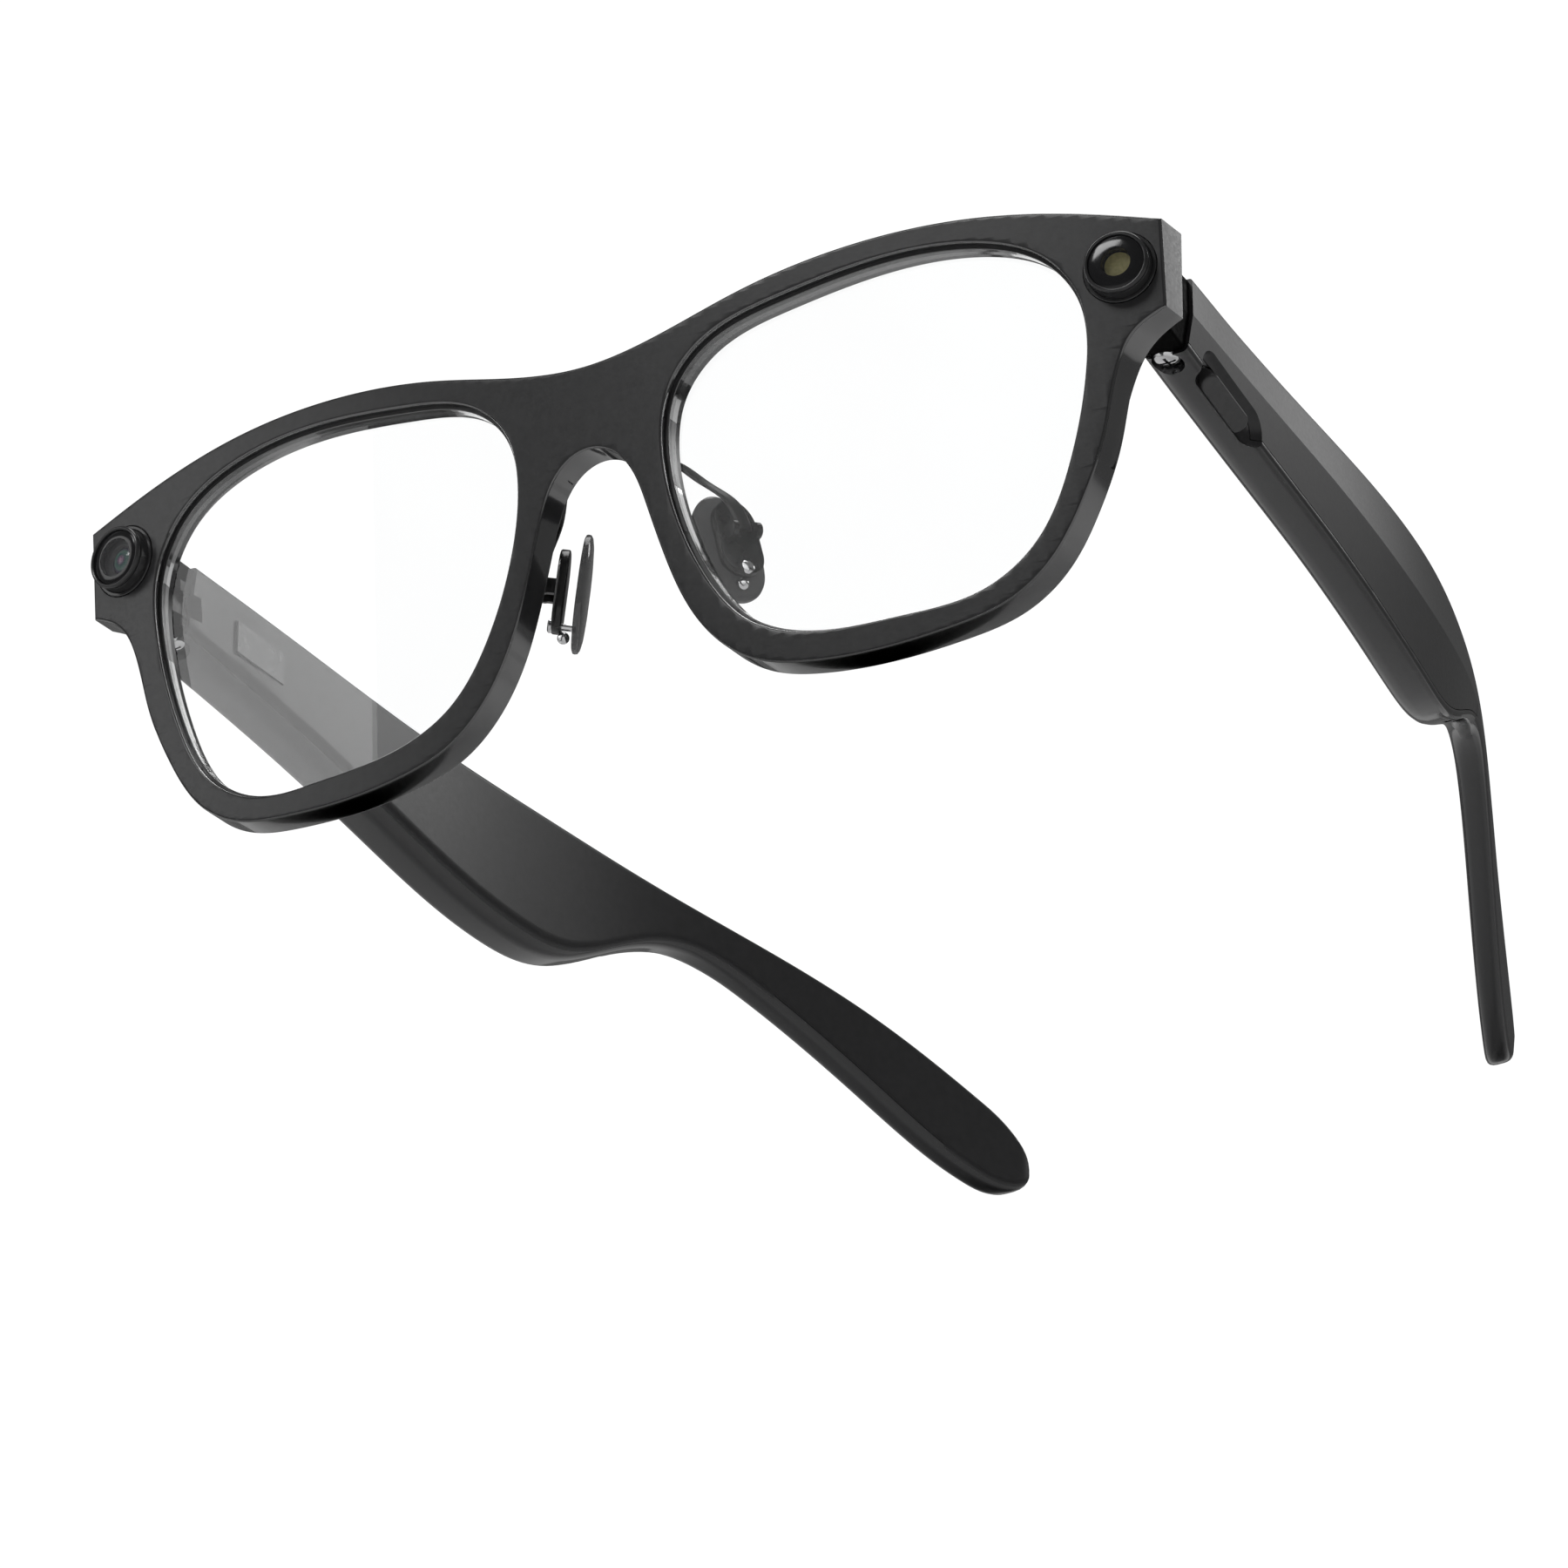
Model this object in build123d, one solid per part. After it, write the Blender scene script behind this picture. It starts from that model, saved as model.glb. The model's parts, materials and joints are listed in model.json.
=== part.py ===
from build123d import *
import math
import os

# Smart glasses: a full-rim front with a camera and a light in its upper corners, two folding
# temples that hold the electronics, and two rocking nose pads.
#
# Working frame, in millimetres: the origin is the middle of the bridge's top edge, +X points to
# the wearer's left, +Y runs back along the temples, and +Z is up with the temples level.
# Every piece is drawn there, and stand_on_table then sets the open glasses down on z = 0.

# ---------------------------------------------------------------- driving dimensions
FRONT_WIDTH = 143.0  # over the end pieces
FRONT_RADIUS = 350.0  # wrap of the front, seen from above
FRONT_TILT = 5.1  # degrees that the lenses lean back below the bridge
RIM_DEPTH = 4.2  # front to back, through the rim
RABBET = 0.45  # step in the rim's inner wall
RABBET_DEPTH = 1.0
GROOVE = (1.7, 3.3)  # lens groove, as depths behind the front face
LENS_THICKNESS = 1.5
LENS_PLAY = 0.05
OFFSET_POINTS = 36  # spline points of a lens outline that is larger or smaller than the opening
END_PIECE_BACK = 12.5  # the end piece's rear face
END_TOP = 1.3
END_BOTTOM = -9.8

MODULE_X = 66.5  # centre of the camera and of the light
MODULE_Z = -4.0
RECESS_RADIUS = 4.45
BEZEL_RADIUS = 3.9
GLASS_RADIUS = 3.35
PROUD = 1.9  # how far a bezel stands out of the front

PIVOT_X = 66.3  # temple hinge axis
PIVOT_Y = 17.8
TONGUE = (-6.6, -3.6)  # the front leaf's tongue, bottom and top
HINGE_PLAY = 0.12  # above and below the tongue
KNUCKLE_RADIUS = 1.6
SCREW_RADIUS = 0.8
RUNNING = 0.05  # radial play of the tongue on the screw
LEAF_PLATE = (6.4, 1.2, 7.6)  # width, depth, height
LEAF_Z = -4.9
HINGE_LEAN = FRONT_TILT  # the hinge axes lean as the front does, so a temple drops as it folds

TEMPLE_START = 14.9
END_CAP_START = 14.0
HOUSING_END = 111.0  # where the outer cover stops
COVER_THICKNESS = 1.2
SEAM = 0.12  # width of the line round the outer cover
WALL = 1.3
LEAN_ABOVE = 0.10  # outer face: how it leans in above and below its crease
LEAN_BELOW = 0.06
CREASE_START = (18.0, -5.0)  # y, z of the crease near the hinge
CREASE_SLOPE = -2.5  # degrees

BUTTON_Y = 29.0
BUTTON_SIZE = (10.4, 2.6)
BUTTON_HEIGHT = 0.9  # above the floor of its scoop
SCOOP_SIZE = (16.0, 6.5)

PAD_CENTRE = (10.4, 16.0, -19.2)
PAD_SIZE = (9.0, 16.0, 2.0)  # width, height, thickness

STAND_PITCH = -6.42  # nose-down lean of the open glasses on a table

# ---------------------------------------------------------------- outlines, as (x, z) or (y, z)
BROW = [(0, 0), (8.2, 1.0), (20, 4.1), (35, 6.4), (50, 6.1), (62, 3.9), (71.5, END_TOP)]
UNDERSIDE = [
    (71.5, END_BOTTOM), (67.6, -12.2), (65.4, -16.5), (63.6, -24), (60.6, -31.8),
    (56.4, -38.6), (51.5, -42.3), (44, -44.2), (34, -44.9), (26, -44.2), (20.5, -42.6),
    (16.3, -39.6), (12.2, -34), (9.4, -27), (7.2, -19.5), (5.3, -14.3), (3.0, -11.6), (0, -10.6),
]
OPENING = [
    (9.6, -12), (10.8, -21), (14.6, -30.8), (20, -37.6), (27.5, -40.7), (38, -41.3),
    (48.5, -40.2), (54.6, -36), (59.2, -27), (61.8, -15.5), (61.4, -6.5), (57.4, -0.6),
    (49, 3.1), (39, 3.9), (25, 2.2), (15, -1.0), (10.9, -5.6),
]
# plan of a temple: its inner and outer faces, as (x, y)
INNER_FACE = [
    (64.2, 7.0), (61.7, 45), (60.1, 73), (57.9, 90), (53.4, 110), (41.2, 140), (31.4, 163),
    (29.1, 168),
]
OUTER_FACE = [
    (70.6, 7.0), (68.1, 45), (66.5, 73), (64.0, 90), (58.0, 110), (45.2, 140), (35.4, 163),
    (33.1, 168),
]
# side view of a temple
TOP_LINE = [(7, 1.0), (60, -0.2), (95, -0.8), (120, -3.8), (140, -9.0), (155, -15.4)]
TIP_LINE = [(155, -15.4), (162.8, -20.0), (160.8, -25.0), (153, -25.9)]
BOTTOM_LINE = [
    (153, -25.9), (140, -19.2), (125, -11.5), (114, -8.9), (104, -12.6), (94, -17.8),
    (84, -18.7), (60, -15.3), (30, -11.4), (7, -8.9),
]

SIDES = {"left": 1, "right": -1}
FAR = 40.0  # reach of the cutting solids


# ---------------------------------------------------------------- drawing helpers
def across(points, **options):
    """A spline through (x, z) points in the plane y = 0."""
    return Spline(*[Vector(x, 0, z) for x, z in points], **options)


def sideways(points, **options):
    """A spline through (y, z) points in the plane x = 0."""
    return Spline(*[Vector(0, y, z) for y, z in points], **options)


def mirrored(shape):
    return mirror(shape, about=Plane.YZ)


def through_front(face):
    """A face in the plane y = 0, run straight through the front."""
    return Pos(0, -6, 0) * extrude(face, amount=FAR, dir=(0, 1, 0))


def behind_front(depth):
    """Everything deeper than the given depth behind the wrapped front face."""
    return Pos(0, FRONT_RADIUS, 0) * Cylinder(FRONT_RADIUS - depth, 120)


def layer(start, end):
    """A wrapped layer of the front, between two depths."""
    return behind_front(start) - behind_front(end)


def tilt_front(shape):
    """Lean a piece of the front back to its place in the working frame."""
    return Rot(FRONT_TILT, 0, 0) * shape


def rounded_block(x, y, z, radius):
    """A box with (low, high) extents and rounded vertical edges."""
    size = [high - low for low, high in (x, y, z)]
    block = Pos(*[(low + high) / 2 for low, high in (x, y, z)]) * Box(*size)
    return fillet(block.edges().filter_by(Axis.Z), radius)


# ---------------------------------------------------------------- the front
def both_sides(points):
    """Points that run from one side to x = 0, carried on to their mirror images."""
    return points + [(-x, z) for x, z in points[-2::-1]]


def front_outline():
    half = FRONT_WIDTH / 2
    top = across(both_sides(BROW[::-1]))
    bottom = across(both_sides(UNDERSIDE))
    ends = [Line((x, 0, END_TOP), (x, 0, END_BOTTOM)) for x in (half, -half)]
    return make_face([top, bottom, *ends])


def opening_outline(side, grow=0.0):
    """A lens opening, with its edge moved outward by a set distance."""
    edge = across(OPENING, periodic=True)
    if grow:
        moved = []
        for step in range(OFFSET_POINTS):
            spot = edge.position_at(step / OFFSET_POINTS)
            heading = edge.tangent_at(step / OFFSET_POINTS)
            moved.append((spot.X + grow * heading.Z, spot.Z - grow * heading.X))
        edge = across(moved, periodic=True)
    outline = make_face([edge])
    return outline if side > 0 else mirrored(outline)


def module_place(side):
    """The centre of a corner module on the front face, its z axis pointing out of the front."""
    angle = math.asin(MODULE_X / FRONT_RADIUS)
    y = FRONT_RADIUS * (1 - math.cos(angle))
    outward = (side * math.sin(angle), -math.cos(angle), 0)
    return Plane(origin=(side * MODULE_X, y, MODULE_Z), x_dir=(0, 0, 1), z_dir=outward)


def disc(place, radius, low, high):
    """A disc on a module's axis, between two heights above the front face."""
    return place * Pos(0, 0, (low + high) / 2) * Cylinder(radius, high - low)


def ring(place, outer, inner, low, high):
    return disc(place, outer, low, high) - disc(place, inner, low - 1, high + 1)


def end_block():
    """The thick corner that carries a module and a hinge, joined to the rim by a slope."""
    plan = Polyline(
        (59.8, 0, 0), (59.8, 9.2, 0), (63.2, 14.5, 0), (76, 14.5, 0), (76, 0, 0), close=True
    )
    return Pos(0, 0, -FAR / 2) * extrude(make_face(plan), amount=FAR, dir=(0, 0, 1))


def front_frame():
    corners = end_block() + mirrored(end_block())
    body = through_front(front_outline()) & (layer(0, RIM_DEPTH) + (corners & behind_front(0)))
    for side in SIDES.values():
        body -= through_front(opening_outline(side)) & layer(-3, RABBET_DEPTH)
        body -= through_front(opening_outline(side, -RABBET))
        body -= through_front(opening_outline(side, RABBET)) & layer(*GROOVE)
        place = module_place(side)
        body -= disc(place, RECESS_RADIUS, -0.5, 3)
        body -= disc(place, BEZEL_RADIUS + 0.02, -3.9, 0)
    body = tilt_front(body)
    body -= Pos(0, END_PIECE_BACK + FAR / 2, 0) * Box(200, FAR, 100)
    for side in SIDES.values():
        body -= lean_hinge(leaf_pocket(side))
    return body


def lens(side):
    middle = sum(GROOVE) / 2
    outline = opening_outline(side, RABBET - LENS_PLAY)
    half = LENS_THICKNESS / 2
    return tilt_front(through_front(outline) & layer(middle - half, middle + half))


# ---------------------------------------------------------------- camera and light
def bezel(side):
    place = module_place(side)
    body = disc(place, BEZEL_RADIUS, -1.6, PROUD)
    body -= disc(place, GLASS_RADIUS + RUNNING, PROUD - 1.0, PROUD + 1)
    body -= disc(place, GLASS_RADIUS - 0.35, -3, PROUD)
    return body


def cover_glass(side):
    return disc(module_place(side), GLASS_RADIUS, PROUD - 0.98, PROUD - 0.28)


def camera_pieces():
    place = module_place(SIDES["right"])
    barrel = ring(place, 2.5, 1.75, -1.9, 0.7) + ring(place, 2.5, 0.9, -2.3, -1.9)
    dome = place * Pos(0, 0, -2.3) * Sphere(3.0)
    front_element = disc(place, 1.72, -0.5, 0.9) & dome
    rear_element = disc(place, 1.72, -1.85, -1.2)
    board = place * Pos(0, 0, -3.0) * Box(5.0, 5.0, 0.6)
    sensor = place * Pos(0, 0, -2.5) * Box(3.2, 3.2, 0.38)
    return {
        "camera_bezel": bezel(SIDES["right"]),
        "camera_cover_glass": cover_glass(SIDES["right"]),
        "camera_barrel": barrel,
        "camera_front_element": front_element,
        "camera_spacer_ring": ring(place, 1.72, 1.2, -1.18, -0.52),
        "camera_rear_element": rear_element,
        "camera_sensor": sensor,
        "camera_board": board,
    }


def light_pieces():
    place = module_place(SIDES["left"])
    board = disc(place, 2.8, -2.6, -1.8)
    emitter = disc(place, 1.65, -1.78, 0.6)
    return {
        "light_bezel": bezel(SIDES["left"]),
        "light_cover": cover_glass(SIDES["left"]),
        "light_emitter": emitter,
        "light_holder": ring(place, 2.9, 1.7, -1.5, 0.5),
        "light_board": board,
    }


# ---------------------------------------------------------------- hinges
def at_pivot(side, bottom, top, radius):
    """A cylinder on a temple's hinge axis."""
    return Pos(side * PIVOT_X, PIVOT_Y, (bottom + top) / 2) * Cylinder(radius, top - bottom)


def lean_hinge(shape):
    """Lean a hinge piece about the middle of its tongue, into the frame's own place."""
    middle = Pos(0, PIVOT_Y, sum(TONGUE) / 2)
    return middle * Rot(HINGE_LEAN, 0, 0) * middle.inverse() * shape


def leaf_plate(side):
    """The plate of the front leaf, let into the rear face of the end piece."""
    width, depth, height = LEAF_PLATE
    return Pos(side * PIVOT_X, END_PIECE_BACK - depth / 2, LEAF_Z) * Box(width, depth, height)


def leaf_pocket(side):
    """The end piece's pocket for that plate, open to the rear."""
    width, depth, height = [size + 2 * RUNNING for size in LEAF_PLATE]
    front = END_PIECE_BACK - depth
    return Pos(side * PIVOT_X, front + depth, LEAF_Z) * Box(width, 2 * depth, height)


def hinge_front_leaf(side):
    low, high = TONGUE
    reach = PIVOT_Y - END_PIECE_BACK + 0.6
    bar = Pos(side * PIVOT_X, PIVOT_Y - reach / 2, (low + high) / 2)
    body = leaf_plate(side) + bar * Box(2 * KNUCKLE_RADIUS, reach, high - low)
    body += at_pivot(side, low, high, KNUCKLE_RADIUS)
    return lean_hinge(body - at_pivot(side, low - 1, high + 1, SCREW_RADIUS + RUNNING))


def fork_block(side, play=0.0):
    x = (PIVOT_X - 2.3 - play, PIVOT_X + 1.4 + play)
    if side < 0:
        x = (-x[1], -x[0])
    y = (15.6 - play, 23.4 + play)
    z = (TONGUE[0] - 1.5 - play, TONGUE[1] + 1.5 + play)
    return rounded_block(x, y, z, 0.5)


def tongue_sweep(side):
    """The room that the tongue needs as the temple folds, in the temple's own place."""
    low = TONGUE[0] - HINGE_PLAY
    high = TONGUE[1] + HINGE_PLAY
    reach = KNUCKLE_RADIUS + 0.15
    room = at_pivot(side, low, high, reach)
    height = Pos(0, 0, (low + high) / 2)
    span = 10.0
    forward = Pos(side * (PIVOT_X + reach - span / 2), PIVOT_Y - span / 2, 0)
    inward = Pos(side * (PIVOT_X - span / 2), PIVOT_Y + reach - span / 2, 0)
    room += height * forward * Box(span, span, high - low)
    room += height * inward * Box(span, span, high - low)
    return room


def hinge_temple_leaf(side):
    body = fork_block(side) - tongue_sweep(side)
    return lean_hinge(body - at_pivot(side, -20, 5, SCREW_RADIUS))


def hinge_screw(side):
    head_top = TONGUE[0] - 1.5
    shank = at_pivot(side, head_top, TONGUE[1] + 1.3, SCREW_RADIUS)
    head = at_pivot(side, head_top - 1.1, head_top, 1.55)
    rim = head.edges().filter_by(GeomType.CIRCLE).sort_by(Axis.Z)[0]
    head = fillet(rim, 0.6)
    slot = Pos(side * PIVOT_X, PIVOT_Y, head_top - 1.1) * (
        Box(1.5, 0.36, 0.7) + Box(0.36, 1.5, 0.7)
    )
    return lean_hinge(shank + head - slot)


# ---------------------------------------------------------------- temples (drawn on the left)
def plan_curve(points, shift=0.0):
    return Spline(*[Vector(x + shift, y, 0) for x, y in points])


def plan_band(inner_shift=0.0, outer_shift=0.0):
    """The upright slab between two curves that follow a temple's inner and outer faces."""
    inner = plan_curve(INNER_FACE, inner_shift)
    outer = plan_curve(OUTER_FACE, outer_shift)
    ends = [Line(inner @ 0, outer @ 0), Line(inner @ 1, outer @ 1)]
    return Pos(0, 0, -FAR) * extrude(make_face([inner, outer, *ends]), amount=2 * FAR, dir=(0, 0, 1))


def beyond_outer(shift=0.0):
    """The region outside a curve that follows the temple's outer face, as a flat face."""
    outer = plan_curve(OUTER_FACE, shift)
    start, end = outer @ 0, outer @ 1
    corners = [Vector(start.X + FAR, start.Y), Vector(end.X + 2 * FAR, end.Y)]
    return make_face([outer, Polyline(start, *corners, end)])


def side_profile(top_drop=0.0, bottom_rise=0.0):
    """The temple's side view, run across it, with its top lowered and its bottom raised."""
    top = sideways([(y, z - top_drop) for y, z in TOP_LINE])
    bottom = sideways([(y, z + bottom_rise) for y, z in BOTTOM_LINE])
    if top_drop or bottom_rise:
        tip = Line(top @ 1, bottom @ 0)
    else:
        tip = sideways(TIP_LINE, tangents=[top % 1, bottom % 0])
    front = Line(bottom @ 1, top @ 0)
    return extrude(make_face([top, tip, bottom, front]), amount=2 * FAR + 10, dir=(1, 0, 0))


def slab_y(start, end):
    return Pos(FAR, (start + end) / 2, 0) * Box(2 * FAR, end - start, 2 * FAR)


def facet_cutter(upward):
    """Leaning wedge that slopes the outer face above or below its crease."""
    lean = LEAN_ABOVE if upward else LEAN_BELOW
    rise = 1 if upward else -1
    wedge = extrude(beyond_outer(), amount=FAR, dir=(-lean, 0, rise))
    y, z = CREASE_START
    return Pos(0, y, z) * Rot(CREASE_SLOPE, 0, 0) * Pos(0, -y, 0) * wedge


def whole_temple():
    body = plan_band() & side_profile()
    return body - facet_cutter(True) - facet_cutter(False)


def button_place():
    """The middle of the button's pocket, its z axis pointing out of the temple's lower edge."""
    along = Vector(-0.065, 1, -0.125).normalized()
    out = Vector(0.62, 0, -0.78)
    out = (out - along * out.dot(along)).normalized()
    return Plane(origin=(67.3, BUTTON_Y, -9.7), x_dir=along, z_dir=out)


def pill(place, length, width, low, high):
    return place * Pos(0, 0, low) * extrude(SlotOverall(length, width), amount=high - low)


def scoop():
    return pill(button_place(), *SCOOP_SIZE, 0, 6)


def button_well():
    length, width = BUTTON_SIZE
    return pill(button_place(), length + 0.3, width + 0.3, -1.5, 1)


def cover_zone(gap=0.0):
    """The region of the outer cover, shrunk by a gap for its seam."""
    region = beyond_outer(gap - COVER_THICKNESS)
    zone = Pos(0, 0, -FAR) * extrude(region, amount=2 * FAR, dir=(0, 0, 1))
    zone = zone & side_profile(-3, 1.0 + gap)
    return zone & slab_y(TEMPLE_START + 0.4 + gap, HOUSING_END - gap)


def cavity():
    room = plan_band(WALL, -COVER_THICKNESS + 0.2) & side_profile(1.5, 2.2)
    return room & slab_y(38, 107)


def along_temple(y, z, size, from_inner):
    """A block in the cavity, turned to follow the inner face, a set distance off it."""
    inner = plan_curve(INNER_FACE)
    place = inner.position_at(0.5)
    low, high = 0.0, 1.0
    for _ in range(30):
        middle = (low + high) / 2
        place = inner.position_at(middle)
        low, high = (middle, high) if place.Y < y else (low, middle)
    slope = inner.tangent_at(middle)
    turn = -math.degrees(math.atan2(slope.X, slope.Y))
    block = Rot(0, 0, turn) * Pos(from_inner + size[0] / 2, 0, 0) * Box(*size)
    return Pos(place.X, place.Y, z) * block


def battery():
    body = along_temple(54, -6.6, (2.3, 22.0, 8.0), 1.8)
    return fillet(body.edges().filter_by(Axis.Z), 0.8)


def circuit_board():
    board = along_temple(79, -8.6, (0.8, 19.0, 11.0), 1.5)
    chip = along_temple(76, -8.0, (1.0, 6.0, 6.0), 2.3)
    radio = along_temple(84, -9.0, (0.8, 4.0, 4.0), 2.3)
    return board + chip + radio


def speaker():
    return along_temple(93.5, -8.0, (1.9, 9.0, 6.4), 1.75)


def core_wire():
    upper = [(112.5, -4.4), (125, -6.9), (140, -13.2), (150, -17.9)]
    lower = [(y, z - 1.8) for y, z in reversed(upper)]
    strip = Polyline(*[Vector(0, y, z) for y, z in upper + lower], close=True)
    strip = extrude(make_face(strip), amount=2 * FAR + 10, dir=(1, 0, 0))
    return plan_band(1.4, -1.4) & strip


def speaker_slots():
    """Two small sound slots through the underside, near the end of the housing."""
    slots = []
    for y, z in ((98.5, -15.0), (102.6, -12.8)):
        slot = Pos(60.0 - 0.24 * (y - 98.5), y, z) * Rot(27, 0, 13) * Box(1.3, 2.5, 5.0)
        slots.append(slot)
    return slots


def speaker_grille():
    """Black mesh that lies behind the two sound slots."""
    place = Pos(58.6, 100.5, -11.9) * Rot(27, 0, 13)
    return place * Box(2.0, 7.0, 0.3)


def end_cap():
    body = plan_band(0.35, -0.35) & side_profile(0.35, 0.35)
    body = body & slab_y(END_CAP_START, TEMPLE_START)
    return body - lean_hinge(tongue_sweep(1))


def contact_plate():
    return along_temple(31, -5.2, (0.8, 9.5, 4.2), 0.0)


def outer_cover(has_button):
    body = whole_temple() & cover_zone(SEAM)
    body = body - lean_hinge(tongue_sweep(1))
    if has_button:
        body = body - scoop() - button_well()
    return body


def temple_shell(has_button, has_contacts):
    body = whole_temple() & slab_y(TEMPLE_START, 170)
    body = body - cover_zone() - cavity() - core_wire()
    body = body - lean_hinge(fork_block(1, 0.01)) - lean_hinge(tongue_sweep(1))
    body = body - lean_hinge(at_pivot(1, -20, TONGUE[0] - 1.5, 1.9))
    for slot in speaker_slots():
        body = body - slot
    if has_button:
        body = body - scoop() - button_well() - switch_body()
    if has_contacts:
        body = body - contact_plate()
    return body


def mode_button():
    length, width = BUTTON_SIZE
    body = pill(button_place(), length, width, -0.9, BUTTON_HEIGHT)
    top = body.faces().sort_by(lambda face: button_place().to_local_coords(face.center()).Z)[-1]
    return fillet(top.edges(), 0.35)


def switch_body():
    return button_place() * Pos(0, 0, -2.2) * Box(3.4, 2.2, 1.38)


# ---------------------------------------------------------------- nose pads (drawn on the left)
def pad_place():
    """The pad's seat: x runs up its height, z points at the nose."""
    toward_nose = Vector(-0.85, 0.5, -0.12).normalized()
    up = Vector(-0.09, -0.15, 0.98)
    up = (up - toward_nose * up.dot(toward_nose)).normalized()
    return Plane(origin=PAD_CENTRE, x_dir=up, z_dir=toward_nose)


def nose_pad():
    width, height, thickness = PAD_SIZE
    body = pad_place() * extrude(Ellipse(height / 2, width / 2), amount=thickness)
    return fillet(body.edges(), 0.75)


def pad_rock_axis():
    """Where a pad rocks on its arm: y of this place is the axis."""
    return pad_place() * Pos(0, 0, -3.6)


def pad_mount():
    plate = pill(pad_place(), 10.4, 6.4, -2.3, -1.1)
    boss = pad_place() * Pos(0, 0, -0.55) * Box(4.0, 2.6, 1.1)
    ears = plate
    for shift in (-1.45, 1.45):
        ears += pad_rock_axis() * Pos(0, shift, 0.6) * Box(2.0, 0.9, 1.8)
        ears += pad_rock_axis() * Pos(0, shift, 0) * Rot(90, 0, 0) * Cylinder(1.0, 0.9)
    hole = pad_rock_axis() * Rot(90, 0, 0) * Cylinder(0.45, 8)
    return ears + boss - hole


def pad_screw():
    pin = pad_rock_axis() * Rot(90, 0, 0) * Cylinder(0.45, 4.0)
    head = pad_rock_axis() * Pos(0, -2.3, 0) * Rot(90, 0, 0) * Cylinder(0.85, 0.7)
    return pin + head


def pad_arm():
    axis = pad_rock_axis()
    eye = axis * Rot(90, 0, 0) * (Cylinder(1.05, 1.6) - Cylinder(0.45 + RUNNING, 4))
    centre = (axis * Pos(0, 0, 0)).position
    end = (axis * Pos(0.5, 0, -0.75)).position
    path = FilletPolyline(
        Vector(7.8, 4.9, -14.5), Vector(7.8, 8.6, -13.4), Vector(14.6, 11.4, -13.2), end, radius=1.6
    )
    section = Plane(origin=path @ 0, z_dir=path % 0) * Circle(0.6)
    wire = sweep(section, path=path)
    wire = wire - Pos(*centre) * Sphere(0.9)
    foot = Pos(7.8, 5.6, -14.2) * Rot(FRONT_TILT, 0, 0) * Box(2.6, 1.6, 3.0)
    return eye + wire + foot


# ---------------------------------------------------------------- the whole object
def on_side(shape, side):
    return shape if side > 0 else mirrored(shape)


def all_pieces():
    pieces = {}
    for name, side in SIDES.items():
        pieces[f"lens_{name}"] = lens(side)
        pieces[f"hinge_front_leaf_{name}"] = hinge_front_leaf(side)
        pieces[f"nose_pad_arm_{name}"] = on_side(pad_arm(), side)
        pieces[f"nose_pad_mount_{name}"] = on_side(pad_mount(), side)
        pieces[f"nose_pad_screw_{name}"] = on_side(pad_screw(), side)
        pieces[f"nose_pad_{name}"] = on_side(nose_pad(), side)
        has_button = name == "left"
        temple = {
            "shell": temple_shell(has_button, not has_button),
            "outer_cover": outer_cover(has_button),
            "end_cap": end_cap(),
            "battery": battery(),
            "circuit_board": circuit_board(),
            "speaker": speaker(),
            "speaker_grille": speaker_grille(),
            "core_wire": core_wire(),
        }
        if has_button:
            temple["button_switch"] = switch_body()
            temple["mode_button"] = mode_button()
        else:
            temple["contact_plate"] = contact_plate()
        for piece, shape in temple.items():
            pieces[f"temple_{piece}_{name}"] = on_side(shape, side)
        pieces[f"temple_hinge_leaf_{name}"] = hinge_temple_leaf(side)
        pieces[f"temple_hinge_screw_{name}"] = hinge_screw(side)
    for name, shape in {**camera_pieces(), **light_pieces()}.items():
        pieces[name] = tilt_front(shape)
    frame = front_frame()
    for name in SIDES:
        frame -= pieces[f"nose_pad_arm_{name}"]
    pieces["front_frame"] = frame
    return pieces


def stand_on_table(pieces):
    """Pitch the open glasses on to their rims and temple tips, over the origin."""
    pitch = Rot(STAND_PITCH, 0, 0)
    boxes = {name: (pitch * shape).bounding_box() for name, shape in pieces.items()}
    low = [min(getattr(box.min, axis) for box in boxes.values()) for axis in "XYZ"]
    high = [max(getattr(box.max, axis) for box in boxes.values()) for axis in "XYZ"]
    rims = boxes["front_frame"].min.Z
    tips = boxes["temple_shell_left"].min.Z
    print(f"size {[round(b - a, 2) for a, b in zip(low, high)]}, tips {tips - rims:+.3f} above rims")
    return Pos(-(low[0] + high[0]) / 2, -(low[1] + high[1]) / 2, -low[2]) * pitch


def main():
    os.makedirs("parts", exist_ok=True)
    pieces = all_pieces()
    stand = stand_on_table(pieces)
    for name, shape in pieces.items():
        export_step(stand * shape, f"parts/{name}.step")


main()
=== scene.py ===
import bmesh
import bpy
import json
import math
import numpy as np
from mathutils import Matrix, Vector


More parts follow.
